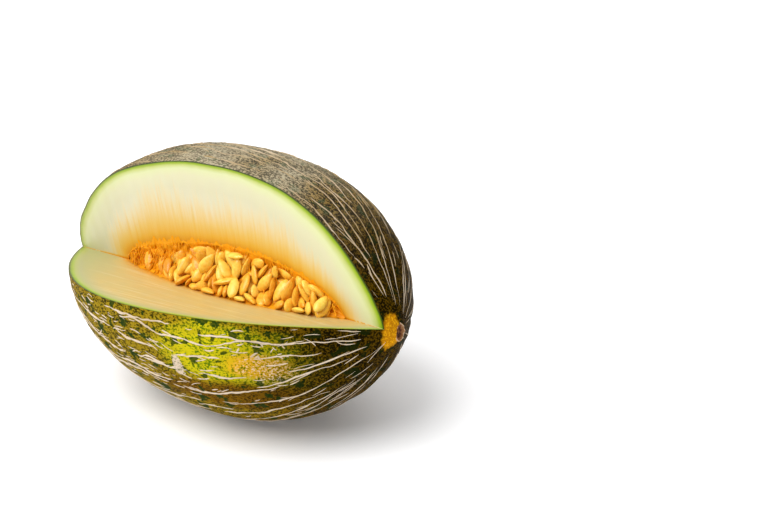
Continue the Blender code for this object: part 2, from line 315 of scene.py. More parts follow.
def line_inside(x, radius_at):
    """How far the cut line lies under the surface that radius_at gives."""
    line = cut_line(x)
    spot = line / (1, HEIGHT_SHARE)
    return radius_at(x, turn_of(line[..., 0], line[..., 1])) - np.hypot(spot[..., 0], spot[..., 1])


def pierce(radius_at, side):
    """The x at which the cut line comes out through the surface, towards side -1 or +1."""
    low, high = 0.05 * side, (BLOSSOM_X if side > 0 else STALK_X)
    for _ in range(50):
        middle = (low + high) / 2
        if line_inside(np.array(middle), radius_at) > 0:
            low = middle
        else:
            high = middle
    return low


def cavity_girth(x):
    """Radius of the seed cavity at x."""
    x = np.asarray(x, float)
    towards_blossom = x > CAVITY_MIDDLE
    end = np.where(towards_blossom, CAVITY_ENDS[1], CAVITY_ENDS[0])
    power = np.where(towards_blossom, CAVITY_PROFILE[1][0], CAVITY_PROFILE[0][0])
    swell = np.where(towards_blossom, CAVITY_PROFILE[1][1], CAVITY_PROFILE[0][1])
    share = np.clip((x - CAVITY_MIDDLE) / (end - CAVITY_MIDDLE), 0, 1)
    return CAVITY_RADIUS * (1 - share**power) ** swell


def cavity_radius_at(x, turn):
    """The cavity's radius, which is the same at every turn."""
    return cavity_girth(x) + 0 * turn


# Meshes and materials


def loft(loops):
    """Quads between neighbouring closed loops of points, as (rows - 1, columns, 4) numbers."""
    rows, columns = loops.shape[:2]
    here = np.arange(rows * columns).reshape(rows, columns)
    after = np.roll(here, -1, axis=1)
    return np.stack([here[:-1], after[:-1], after[1:], here[1:]], axis=-1)


def make_piece(name, points, faces, materials, looks=None, values=None):
    """A mesh object: doubles merged, faces turned outwards, smooth but for its cut edges.

    looks is each face's material, and values are named numbers for each point.
    """
    mesh = bpy.data.meshes.new(name)
    mesh.from_pydata(np.asarray(points).reshape(-1, 3), [], np.asarray(faces).tolist())
    for material in materials:
        mesh.materials.append(material)
    if looks is not None:
        mesh.polygons.foreach_set("material_index", np.asarray(looks, np.int32))
    for key, numbers in (values or {}).items():
        layer = mesh.attributes.new(key, "FLOAT", "POINT")
        layer.data.foreach_set("value", np.asarray(numbers, np.float32).ravel())
    shape = bmesh.new()
    shape.from_mesh(mesh)
    bmesh.ops.remove_doubles(shape, verts=shape.verts, dist=MERGE_DISTANCE)
    bmesh.ops.recalc_face_normals(shape, faces=shape.faces)
    shape.to_mesh(mesh)
    shape.free()
    mesh.shade_smooth()
    mesh.set_sharp_from_angle(angle=SHARP_ANGLE)
    made = bpy.data.objects.new(name, mesh)
    bpy.context.scene.collection.objects.link(made)
    return made


def dress(piece, slot, *nodes):
    """Ride the finished piece on the one body, and hide the solids that it stands for; slot is not used.
    """
    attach(piece, "root")
    if nodes:
        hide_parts(*nodes)
    return piece


def first_output(value):
    """The first live output of a node; anything else comes back as it is."""
    if isinstance(value, bpy.types.Node):
        return next(socket for socket in value.outputs if socket.enabled)
    return value


# Some inputs go by their numbers, because their names are long or not the only ones of the kind
# Noise: 0 place, 2 scale, 3 detail, 4 roughness, 8 distortion
# Map range: 0 value, 1 and 2 the range that it comes from, 3 and 4 the range that it goes to
# Mix: 0 share, 6 and 7 the two colours
# Maths: 0, 1 and 2 in the order that they are written in


def node(tree, kind, inputs=None, stops=(), **settings):
    """Add one node: its settings, its colour stops, and its inputs, each a value or what to link."""
    made = tree.nodes.new(kind)
    for name, value in settings.items():
        setattr(made, name, value)
    if stops:
        ramp = made.color_ramp.elements
        ramp[0].position, ramp[0].color = stops[0]
        ramp[1].position, ramp[1].color = stops[-1]
        for place, colour in stops[1:-1]:
            ramp.new(place).color = colour
    feed(tree, made, inputs or {})
    return made


def feed(tree, target, inputs):
    """Set the inputs of a node, or link them where a socket or a node is given."""
    for key, value in inputs.items():
        value = first_output(value)
        if isinstance(value, bpy.types.NodeSocket):
            tree.links.new(value, target.inputs[key])
        else:
            target.inputs[key].default_value = value


def start_material(name):
    """A new material, with its tree, its shader and the place on the piece that its patterns read."""
    material = bpy.data.materials.new(name)
    material.use_nodes = True
    tree = material.node_tree
    place = node(tree, "ShaderNodeTexCoord").outputs["Object"]
    return material, tree, tree.nodes["Principled BSDF"], place


def zone(tree, place, middle, sizes, ragged, low=0.55, high=1.15):
    """1 inside an ellipsoid round middle and 0 outside it, with an edge that the noise ragged frays."""
    near = node(
        tree,
        "ShaderNodeMapping",
        {
            "Vector": place,
            "Location": [-at / size for at, size in zip(middle, sizes)],
            "Scale": [1 / size for size in sizes],
        },
    )
    away = node(tree, "ShaderNodeVectorMath", {0: near}, operation="LENGTH")
    frayed = node(
        tree, "ShaderNodeMath", {0: ragged, 1: 0.9, 2: away.outputs["Value"]}, operation="MULTIPLY_ADD"
    )
    return node(
        tree,
        "ShaderNodeMapRange",
        {0: frayed, 1: low + 0.45, 2: high + 0.45, 3: 1.0, 4: 0.0},
        interpolation_type="SMOOTHSTEP",
    )


def coats(tree, ground, *layers):
    """Lay colours over the ground one after another; each layer is (share, colour)."""
    for share, colour in layers:
        ground = node(tree, "ShaderNodeMix", {0: share, 6: ground, 7: colour}, data_type="RGBA")
    return ground


# Settings


class MelonBodySettings(bpy.types.PropertyGroup):
    """Sizes and colours of the rind and the flesh"""

    rind_thickness: length_property(
        "Rind thickness", "Depth of the dark skin that shows at the cut", 0.0005
    )
    wave_height: length_property("Wave height", "Height of the low waves all over the skin", 0.0005)
    pleat_height: length_property(
        "Pleat height", "Height of the pleats that run into both ends", 0.0004
    )
    dent_height: length_property(
        "Dent height", "Height of the small dents that break the skin's shine", 0.00014
    )
    rows: IntProperty(name="Rings", description="Rings along the fruit", default=168, min=40, max=240)
    columns: IntProperty(
        name="Columns", description="Points round the skin", default=276, min=60, max=360
    )
    dark: colour_property("Dark skin", "Ground colour of the rind", "#140e01")
    brown: colour_property("Brown skin", "Browner parts of the rind", "#2b1d05")
    fleck: colour_property("Flecks", "The fine flecks over the rind", "#96700e")
    sunlit: colour_property("Pale patch", "The patch that ripened yellow", "#c3b615")
    orange: colour_property("Orange band", "Where the pale patch turns ripe", "#7c580c")
    blotch: colour_property("Blotches", "Dark green blotches", "#1b360e")
    collar: colour_property("Collar", "Skin beside the blossom scar", "#e6a714")
    rim: colour_property("Green rim", "Flesh just under the skin", "#9db52a")
    flesh: colour_property("Flesh", "The cream flesh", "#ddd9c2")
    heart: colour_property("Heart", "Flesh beside the seed cavity", "#e2ae38")
    # the tan of the painted shade and orange bounce light on the flat cut
    drawn: colour_property("Lower flesh", "Flesh that the knife was drawn along", "#cdb06c")


class MelonNetSettings(bpy.types.PropertyGroup):
    """Sizes and colours of the corky net"""

    extra_lines: IntProperty(
        name="Lines between",
        description="Lines between the ones that the solids have",
        default=28,
        min=0,
        max=60,
    )
    dashes: IntProperty(name="Dashes", description="Short corky dashes", default=500, min=0, max=600)
    line_width: length_property("Line width", "Usual width of a corky line", 0.0009)
    bead_share: FloatProperty(
        name="Bead height",
        description="Height of a line over the skin, as a share of half its width",
        subtype="FACTOR",
        default=0.75,
        min=0.1,
        max=1.5,
    )
    pale: colour_property("Pale cork", "Fresh cork of the net", "#d9c7b0")
    tan: colour_property("Tan cork", "Weathered cork of the net", "#a68c5c")


class MelonEndSettings(bpy.types.PropertyGroup):
    """Sizes and colours of the blossom scar and the stalk"""

    scar_height: length_property("Scar height", "Semi-axis of the blossom scar upwards", 0.0043)
    scar_width: length_property("Scar width", "Semi-axis of the blossom scar across", 0.0027)
    rim_height: length_property("Rim height", "Height of the scar's rim", 0.0011)
    pit: colour_property("Pit", "The dry pit of the scar", "#7a431c")
    wood: colour_property("Stalk", "The dry cut stalk", "#7d7040")


class MelonPulpSettings(bpy.types.PropertyGroup):
    """Sizes and colours of the pulp"""

    lip_length: length_property(
        "Lip length", "How far the longest fibres run over the cut faces", 0.0038
    )
    fibres: IntProperty(name="Fibres", description="Loose fibres", default=440, min=0, max=800)
    fibre_radius: length_property("Fibre radius", "Usual radius of a fibre", 0.00042)
    orange: colour_property("Pulp", "Wet orange pulp", "#e8940c")
    # the colour of the painted shade in the pulp's gaps
    deep: colour_property("Deep pulp", "Pulp in the gaps", "#bd6808")


class MelonSeedSettings(bpy.types.PropertyGroup):
    """Sizes and colours of the seeds"""

    count: IntProperty(name="Seeds", description="Seeds laid in the bed", default=86, min=1, max=220)
    length: length_property("Length", "Length of a seed", 0.0122)
    width: length_property("Width", "Width of a seed", 0.0063)
    thickness: length_property("Thickness", "Thickness of a seed", 0.0033)
    pale: colour_property("Pale seed", "A seed that lies clear of the pulp", "#f5c03f")
    stained: colour_property("Stained seed", "A seed soaked with pulp", "#dd9216")


class MelonStageSettings(bpy.types.PropertyGroup):
    """The floor and the strength of the light"""

    floor_size: length_property("Floor size", "Side of the square floor", 8.0)
    light: FloatProperty(
        name="Key light",
        description="Strength of the large soft light from the front",
        default=2.6,
        min=0.0,
    )
    sky: FloatProperty(
        name="Studio light",
        description="Strength of the light from all round, which is dimmer on the right",
        default=0.37,
        min=0.0,
    )
    floor: colour_property("Floor", "The pale floor", "#fefefe")
    glow: FloatProperty(
        name="Table glow",
        description="Strength of the light that comes through the floor",
        default=0.12,
        min=0.0,
    )


# Rind and flesh


def rind_blotches(tree, place, fine, gold):
    """The share of dark blotches, 2 to 5 mm across, with hardly any in the golden part."""
    spots = node(tree, "ShaderNodeTexNoise", {0: place, 2: 150.0, 3: 1.0, 4: 0.5, 8: 0.3})
    spots = node(tree, "ShaderNodeMath", {0: fine, 1: 0.22, 2: spots}, operation="MULTIPLY_ADD")
    blotches = node(
        tree,
        "ShaderNodeMapRange",
        {0: spots, 1: 0.525, 2: 0.470, 3: 0.0, 4: 0.88},
        interpolation_type="SMOOTHSTEP",
    )
    return node(
        tree,
        "ShaderNodeMath",
        {0: blotches, 1: node(tree, "ShaderNodeMapRange", {0: gold, 3: 1.0, 4: 0.15})},
        operation="MULTIPLY",
    )


def rind_bloom_and_sheen(tree, apart, broad, crowd):
    """The share of grey bloom and painted sheen, which lie on the top of the fruit."""
    bloom_and_sheen = node(
        tree,
        "ShaderNodeMapRange",
        {0: apart.outputs["Z"], 1: 0.085, 2: 0.131, 3: 0.0, 4: 1.0},
        interpolation_type="SMOOTHSTEP",
    )
    # the bloom, worn off in patches, and the painted sheen on it stay on the high grains of the skin
    patchy = node(tree, "ShaderNodeMapRange", {0: broad, 1: 0.36, 2: 0.60, 3: 0.35, 4: 1.0})
    # the bloom and the painted sheen are fainter towards both ends
    at_blossom, at_stalk = (
        node(tree, "ShaderNodeMapRange", {0: apart.outputs["X"], 1: low, 2: high, 3: below, 4: above})
        for low, high, below, above in ((0.050, 0.092, 1.0, 0.2), (-0.080, -0.010, 0.10, 1.0))
    )
    worn = node(tree, "ShaderNodeMapRange", {0: crowd, 1: 0.57, 2: 0.76, 3: 0.30, 4: 1.25})
    for part in (patchy, worn, at_blossom, at_stalk):
        bloom_and_sheen = node(tree, "ShaderNodeMath", {0: bloom_and_sheen, 1: part}, operation="MULTIPLY", use_clamp=True)
    return bloom_and_sheen


def rubbed_places(tree, place, fine, middling):
    """The shares of two places rubbed through to cork, which the skin's grain speckles."""
    rubbed = []
    for middle, reach, low, bare, full, most in (
        ((0.0327, -0.068, 0.0483), (0.0034, 0.006, 0.0066), 0.7, 0.40, 0.52, 1.0),
        ((0.078, -0.055, 0.053), (0.014, 0.026, 0.009), 0.4, 0.54, 0.62, 0.8),
    ):
        spot = zone(tree, place, middle, reach, middling, low=low)
        grain = node(tree, "ShaderNodeMapRange", {0: fine, 1: bare, 2: full, 4: most})
        rubbed.append(node(tree, "ShaderNodeMath", {0: spot, 1: grain}, operation="MULTIPLY"))
    return rubbed


def rind_material(sizes, cork):
    """Melon rind under dull wax: it hardly shines, its sheen on top is painted into the colour, and
    flecks and blotches leave no even patch.
    """
    material, tree, shader, place = start_material("Melon rind, grown and waxy")
    long_way = node(tree, "ShaderNodeMapping", {"Vector": place, "Scale": (0.6, 1, 1)})
    # the flecks are 0.5 mm across on the fruit, and are drawn at 1 mm to show from a step away
    fine = node(tree, "ShaderNodeTexNoise", {0: long_way, 2: 1020.0, 3: 2.0, 4: 0.7})
    middling = node(tree, "ShaderNodeTexNoise", {0: long_way, 2: 150.0, 3: 4.0, 4: 0.6})
    broad = node(tree, "ShaderNodeTexNoise", {0: place, 2: 26.0, 3: 3.0})
    under = zone(tree, place, (0.006, -0.064, 0.044), (0.118, 0.062, 0.050), middling)
    bright = zone(tree, place, (0.060, -0.062, 0.058), (0.042, 0.050, 0.021), middling)
    ripe = zone(tree, place, (0.056, -0.050, 0.034), (0.062, 0.030, 0.012), middling)
    gold = zone(tree, place, (0.076, -0.056, 0.0545), (0.018, 0.030, 0.0085), middling)
    crowd = fine
    for part, weight in ((middling, 0.30), (under, 0.045), (bright, 0.030), (gold, 0.035)):
        crowd = node(tree, "ShaderNodeMath", {0: part, 1: weight, 2: crowd}, operation="MULTIPLY_ADD")
    flecks = node(
        tree, "ShaderNodeMapRange", {0: crowd, 1: 0.632, 2: 0.722}, interpolation_type="SMOOTHSTEP"
    )
    browner = node(tree, "ShaderNodeMapRange", {0: broad, 1: 0.40, 2: 0.62})
    ground = coats(
        tree,
        tuple(sizes.dark),
        (browner, tuple(sizes.brown)),
        (under, linear("#383006")),
        (bright, linear("#56700a")),
        (ripe, linear("#3d2b05")),
    )
    fleck = coats(
        tree,
        tuple(sizes.fleck),
        (under, linear("#998019")),
        (bright, tuple(sizes.sunlit)),
        (ripe, tuple(sizes.orange)),
        (gold, linear("#e8b021")),
    )
    apart = node(tree, "ShaderNodeSeparateXYZ", {0: place})
    # darker towards the blossom end: partly the rind's own darker colour, partly painted shade on the
    # side away from the light
    end_dark_and_shade = node(
        tree,
        "ShaderNodeMapRange",
        {0: apart.outputs["X"], 1: 0.050, 2: 0.106, 3: 0.0, 4: 0.72},
        interpolation_type="SMOOTHSTEP",
    )
    wrinkles = node(
        tree,
        "ShaderNodeTexNoise",
        {
            0: node(tree, "ShaderNodeMapping", {"Vector": place, "Scale": (0.16, 1, 1)}),
            2: 330.0,
            3: 3.0,
        },
    )
    collar = zone(
        tree,
        place,
        (0.1180, -0.0035, AXIS_HEIGHT - 0.001),
        (0.0056, 0.0062, 0.0108),
        wrinkles,
        low=0.70,
        high=1.10,
    )
    skin = coats(
        tree,
        ground,
        (flecks, fleck),
        (rind_blotches(tree, place, fine, gold), tuple(sizes.blotch)),
        # grey bloom, with a painted sheen, on the top of the fruit
        (rind_bloom_and_sheen(tree, apart, broad, crowd), linear("#b3a88c")),
        (end_dark_and_shade, linear("#100b01")),
        (collar, coats(tree, linear("#bf7d0b"), (flecks, tuple(sizes.collar)))),
        *((share, cork) for share in rubbed_places(tree, place, fine, middling)),
    )
    pits = node(tree, "ShaderNodeTexNoise", {0: place, 2: 520.0, 3: 3.0, 4: 0.6})
    relief_height = node(
        tree, "ShaderNodeMath", {0: wrinkles, 1: 1.6, 2: pits}, operation="MULTIPLY_ADD"
    )
    feed(
        tree,
        shader,
        {
            "Base Color": skin,
            "Roughness": node(
                tree, "ShaderNodeMapRange", {0: middling, 1: 0.3, 2: 0.7, 3: 0.40, 4: 0.58}
            ),
            "Specular IOR Level": 0.005,
            "Normal": node(
                tree, "ShaderNodeBump", {"Strength": 0.8, "Distance": 0.00055, "Height": relief_height}
            ),
        },
    )
    return material


def tan_shade_and_bounce(tree, apart, from_skin, cloud, streaks):
    """Shares of the tan painted over the flesh as shade and as orange light thrown back from the pulp,
    and of the paler marks in it.
    """
    shaded_share = node(
        tree,
        "ShaderNodeMath",
        {
            0: node(
                tree,
                "ShaderNodeMapRange",
                {0: apart.outputs["X"], 1: -0.100, 2: -0.025},
                interpolation_type="SMOOTHSTEP",
            ),
            1: node(
                tree,
                "ShaderNodeMapRange",
                {0: from_skin, 1: 0.06, 2: 0.38},
                interpolation_type="SMOOTHSTEP",
            ),
        },
        operation="MULTIPLY",
    )
    uneven_shade = node(tree, "ShaderNodeMapRange", {0: cloud, 1: 0.38, 2: 0.60, 3: 1.0, 4: 0.72})
    shaded_share = node(tree, "ShaderNodeMath", {0: shaded_share, 1: uneven_shade}, operation="MULTIPLY")
    marks = node(
        tree,
        "ShaderNodeMath",
        {0: node(tree, "ShaderNodeMapRange", {0: streaks, 1: 0.52, 2: 0.68, 4: 0.55}), 1: shaded_share},
        operation="MULTIPLY",
    )
    return shaded_share, marks


def heart_distance(tree, apart, heart, streaks):
    """How far from the cavity a spot counts for the warm colours, which run out in streaks."""
    carried = node(
        tree,
        "ShaderNodeMath",
        {0: heart, 1: node(tree, "ShaderNodeMapRange", {0: streaks, 1: 0.3, 2: 0.7, 3: 0.80, 4: 1.25})},
        operation="MULTIPLY",
    )
    # the orange heart is narrower towards both ends
    narrow = node(
        tree, "ShaderNodeMapRange", {0: apart.outputs["X"], 1: 0.055, 2: 0.098, 3: 1.0, 4: 1.6}
    )
    short = node(
        tree, "ShaderNodeMapRange", {0: apart.outputs["X"], 1: -0.100, 2: -0.045, 3: 2.0, 4: 1.0}
    )
    for part in (narrow, short):
        carried = node(tree, "ShaderNodeMath", {0: carried, 1: part}, operation="MULTIPLY")
    return carried


def flesh_material(name, across, skin_stops, warm_stops, drawn=None):
    """Ripe flesh, cut with a wet knife: light passes a little way in, and fine streaks cross it.

    across is how fast the streaks change along X, Y and Z. skin_stops run from the skin inwards,
    and warm_stops from the cavity outwards, over 30 mm each. drawn is the tan colour painted over it
    as shade and as orange light thrown back from the pulp.
    """
    material, tree, shader, place = start_material(name)
    # both attributes are in millimetres: depth from the skin, and heart from the cavity
    depth = node(tree, "ShaderNodeAttribute", attribute_name="depth").outputs["Fac"]
    heart = node(tree, "ShaderNodeAttribute", attribute_name="heart").outputs["Fac"]
    streaks = node(
        tree,
        "ShaderNodeTexNoise",
        {
            0: node(tree, "ShaderNodeMapping", {"Vector": place, "Scale": across}),
            2: 1.0,
            3: 4.0,
            4: 0.62,
        },
    )
    cloud = node(tree, "ShaderNodeTexNoise", {0: place, 2: 70.0, 3: 3.0})
    uneven = node(tree, "ShaderNodeMapRange", {0: cloud, 1: 0.3, 2: 0.7, 3: 0.90, 4: 1.10})
    from_skin = node(
        tree,
        "ShaderNodeMapRange",
        {0: node(tree, "ShaderNodeMath", {0: depth, 1: uneven}, operation="MULTIPLY"), 2: 30.0},
    )
    flesh = node(tree, "ShaderNodeValToRGB", {0: from_skin}, stops=skin_stops)
    apart = node(tree, "ShaderNodeSeparateXYZ", {0: place})
    # it is a little duller near the stalk
    dull = node(
        tree, "ShaderNodeMapRange", {0: apart.outputs["X"], 1: -0.115, 2: -0.055, 3: 0.4, 4: 0.0}
    )
    flesh = coats(tree, flesh, (dull, linear("#afa464")))
    if drawn:
        tan_share, marks = tan_shade_and_bounce(tree, apart, from_skin, cloud, streaks)
        # painted shade and orange bounce light from the pulp, tan, with paler marks in it
        flesh = coats(tree, flesh, (tan_share, drawn), (marks, linear("#e4d8b2")))
    carried = heart_distance(tree, apart, heart, streaks)
    warm = node(
        tree,
        "ShaderNodeValToRGB",
        {0: node(tree, "ShaderNodeMapRange", {0: carried, 2: 30.0})},
        stops=warm_stops,
    )
    inside = node(
        tree, "ShaderNodeMapRange", {0: from_skin, 1: 0.10, 2: 0.50}, interpolation_type="SMOOTHSTEP"
    )
    warmed = node(tree, "ShaderNodeMath", {0: warm.outputs["Alpha"], 1: inside}, operation="MULTIPLY")
    flesh = coats(tree, flesh, (warmed, warm.outputs["Color"]))
    feed(
        tree,
        shader,
        {
            "Base Color": flesh,
            "Roughness": 0.40,
            "Specular IOR Level": 0.30,
            "Subsurface Weight": 0.22,
            "Subsurface Radius": (0.0040, 0.0028, 0.0014),
            "Subsurface Scale": 1.0,
            "Normal": node(
                tree, "ShaderNodeBump", {"Strength": 0.16, "Distance": 0.0005, "Height": streaks}
            ),
        },
    )
    return material


def upper_flesh_material(sizes):
    """The upright cut: its orange heart frays outwards along the flesh's own fibres."""
    return flesh_material(
        "Melon flesh, parted along its fibres",
        (560, 60, 30),
        (
            (0.000, linear("#232c06")),
            (0.015, linear("#3c4d09")),
            (0.028, linear("#82a015")),
            (0.050, tuple(sizes.rim)),
            (0.082, linear("#c2cc77")),
            (0.150, linear("#dadfad")),
            (0.280, linear("#dad9b4")),
            (0.500, linear("#d7d4b4")),
            (1.000, tuple(sizes.flesh)),
        ),
        (
            (0.00, linear("#c97605")),
            (0.07, linear("#dc9a18")),
            (0.17, tuple(sizes.heart)),
            (0.36, linear("#e3be5e")[:3] + (0.95,)),
            (0.62, linear("#e4c984")[:3] + (0.72,)),
            (0.85, linear("#e5d39f")[:3] + (0.32,)),
            (1.00, linear("#e6d9ae")[:3] + (0.0,)),
        ),
    )


def lower_flesh_material(sizes):
    """The flat cut: the blade's long fine marks show in it, and painted shade and orange light thrown
    back from the pulp make it darker and tan.
    """
    return flesh_material(
        "Melon flesh, drawn by the knife",
        (16, 560, 200),
        # painted shade: these stops are darker than those of the upright cut
        (
            (0.000, linear("#232c06")),
            (0.015, linear("#3c4d09")),
            (0.030, linear("#82a015")),
            (0.055, tuple(sizes.rim)),
            (0.085, linear("#b0b668")),
            (0.160, linear("#b0af7e")),
            (0.400, linear("#b4af7b")),
            (1.000, linear("#bfb684")),
        ),
        (
            (0.00, linear("#cf8414")),
            (0.05, linear("#d09025")),
            (0.12, linear("#d5a442")[:3] + (0.75,)),
            (0.24, linear("#dab562")[:3] + (0.30,)),
            (0.45, linear("#e6c57a")[:3] + (0.0,)),
            (1.00, linear("#e6c57a")[:3] + (0.0,)),
        ),
        tuple(sizes.drawn),
    )


def ring_stations(inner_radius_at):
    """x of every ring: closer towards both ends, and closest beside where the cut line comes out."""
    sizes = bpy.context.scene.melon_body
    share = np.linspace(0, 1, sizes.rows)
    start, end = math.acos(-STALK_X / HALF), math.acos(-BLOSSOM_X / HALF)
    evenly = -HALF * np.cos(blend(start, end, share))
    steps = np.array([0, 0.1, 0.3, 0.6, 1.0, 1.5, 2.1, 2.9, 3.8]) * MM
    close = []
    for side in (-1, 1):
        outer, inner = pierce(skin_radius, side), pierce(inner_radius_at, side)
        close += list(inner - side * steps) + [outer, (outer + inner) / 2]
    close = np.array([x for x in close if STALK_X < x < BLOSSOM_X])
    gap = np.abs(evenly[:, None] - close[None, :]).min(axis=1)
    keep = (gap > 0.12 * MM) | (evenly == evenly[0]) | (evenly == evenly[-1])
    return np.unique(np.concatenate([evenly[keep], close]))


def distance_to_path(points, path):
    """Least distance from each point to the path, both in a plane."""
    start, step = path[:-1], np.diff(path, axis=0)
    square = np.maximum((step * step).sum(-1), 1e-18)
    apart = points[:, None, :] - start[None]
    share = np.clip((apart * step).sum(-1) / square, 0, 1)
    return np.linalg.norm(apart - share[..., None] * step, axis=-1).min(axis=1)


def blossom_cap(y, z):
    """How far the end of the fruit stands past the last ring, dished where the scar sits."""
    ends = bpy.context.scene.melon_ends
    dome = 1.0 * MM * (1 - np.minimum(1, np.hypot(y, z) / BLOSSOM_SCAR_RADIUS) ** 2)
    scar = np.hypot((y - SCAR_SHIFT) / ends.scar_width, (z + SCAR_DROP) / ends.scar_height)
    return dome - 2.0 * MM * smooth(1.0, 0.72, scar)


def surface_loops(x, turns, inset, floor):
    """Rings of a surface this far inside the skin, at these turns, with both ends closed by caps."""
    inset = np.broadcast_to(inset, turns.shape)
    rows = place_at(x[:, None], turns, skin_radius(x[:, None], turns) - inset, floor)
    blossom, stalk = [], []
    rim = skin_radius(x[-1], turns[-1]) - inset[-1]
    for share in CAP_SHARES:
        spot = place_at(x[-1], turns[-1], share * rim)
        rise = blossom_cap(spot[:, 1], spot[:, 2] - AXIS_HEIGHT)
        spot[:, 0] += rise - 1.7 * inset[-1]
        blossom.append(spot)
    rim = skin_radius(x[0], turns[0]) - inset[0]
    for share in CAP_SHARES:
        spot = place_at(x[0], turns[0], share * rim)
        spot[:, 0] += 0.8 * MM * smooth(1.0, 0.6, share) + 1.7 * inset[0]
        stalk.append(spot)
    return np.concatenate([np.array(stalk[::-1]), rows, np.array(blossom)])


def with_caps(rows):
    """Rows for the caps too: each repeats the row at its end."""
    first = np.repeat(rows[:1], len(CAP_SHARES), axis=0)
    last = np.repeat(rows[-1:], len(CAP_SHARES), axis=0)
    return np.concatenate([first, rows, last])


def closed_on_caps(rows, hidden):
    """Rows for the caps too, each drawn together to where the hidden side's cap starts."""
    rows = with_caps(rows)
    for row in range(len(CAP_SHARES)):
        rows[row] = hidden[row, 0]
        rows[-1 - row] = hidden[-1 - row, 0]
    return rows


def on_face(x, rise, reach, lift=0.0):
    """Points on a cut face, this far from the cut line and this far off it towards the open side."""
    line, way = cut_line(x), face_way(x, rise)
    off = np.stack([-way[..., 1], way[..., 0]], axis=-1) * (1 if rise == UPPER_FACE else -1)
    spot = line + np.asarray(reach)[..., None] * way + np.asarray(lift)[..., None] * off
    x = np.broadcast_to(x, spot.shape[:-1])
    return np.stack([x, spot[..., 0], AXIS_HEIGHT + spot[..., 1]], axis=-1)


FaceEnds = namedtuple("FaceEnds", "reaches turns is_open")


class BodyRings:
    """Where the skin, the rind's inner side and both cut faces run at every ring."""

    def __init__(self):
        sizes = bpy.context.scene.melon_body
        self.inset = sizes.rind_thickness

        def inner_radius_at(x, turn):
            return skin_radius(x, turn) - self.inset

        self.x = ring_stations(inner_radius_at)
        self.outer = self.ends(skin_radius)
        self.inner = self.ends(inner_radius_at)

    def ends(self, radius_at):
        """How far both faces reach, the turns at which they meet the surface, and where it is open."""
        x = self.x
        is_open = line_inside(x, radius_at) > 1e-7
        line = cut_line(x)
        shut = turn_of(line[:, 0], line[:, 1])
        reaches, turns = [], []
        for rise in FACES:
            reach = np.where(is_open, circle_exit(x, rise, radius_at), 0.0)
            spot = line + reach[:, None] * face_way(x, rise)
            reaches.append(reach)
            turns.append(np.where(is_open, turn_of(spot[:, 0], spot[:, 1]), shut))
        return FaceEnds(reaches, turns, is_open)

    def band(self, ends, columns):
        """Turns of each ring's points, from the lower cut face round the back to the upper one."""
        upper, lower = ends.turns
        share = np.linspace(0, 1, columns + 1)
        return blend(lower[:, None], upper[:, None] - math.tau, share[None, :])


def make_rind(rings, sizes, skin_look, cut_look):
    """The rind: a thin closed shell, open where the wedge was, with its cut edge showing."""
    outer = surface_loops(rings.x, rings.band(rings.outer, sizes.columns), 0.0, 0.0)
    inner = surface_loops(
        rings.x, rings.band(rings.inner, INNER_COLUMNS), rings.inset, rings.inset
    )[:, ::-1]
    edges = []
    for side, rise in enumerate(FACES):
        outside = outer[:, -1 if side == 0 else 0]
        spot = on_face(rings.x, rise, rings.inner.reaches[side])
        middle = slice(len(CAP_SHARES), len(outer) - len(CAP_SHARES))
        edge = outside.copy()
        edge[middle] = np.where(rings.outer.is_open[:, None], spot, outside[middle])
        edges.append(edge[:, None])
    loops = np.concatenate([outer, edges[0], inner, edges[1]], axis=1)
    faces = loft(loops)
    skin_end = sizes.columns
    first_wall = sizes.columns + 1
    last_wall = loops.shape[1] - 2
    shut = ~with_caps(rings.inner.is_open)
    kept = np.ones(faces.shape[:2], bool)
    both_shut = shut[:-1] & shut[1:]
    kept[both_shut, first_wall] = False
    kept[both_shut, last_wall] = False
    looks = np.ones(faces.shape[:2], int)
    looks[:, :skin_end] = 0
    depth = np.full(loops.shape[:2], 1000 * rings.inset)
    depth[:, : sizes.columns + 1] = 0
    rind = make_piece(
        "melon_rind",
        loops,
        faces[kept],
        [skin_look, cut_look],
        looks[kept],
        {"depth": depth, "heart": np.full(depth.shape, 60.0)},
    )
    return dress(rind, "rind", "melon")


def cavity_reach(x, rise):
    """How far from the cut line a cut face runs over the cavity; 0 where the knife missed it."""
    met = line_inside(x, cavity_radius_at) > 0
    return np.where(met, circle_exit(x, rise, cavity_radius_at), 0.0)


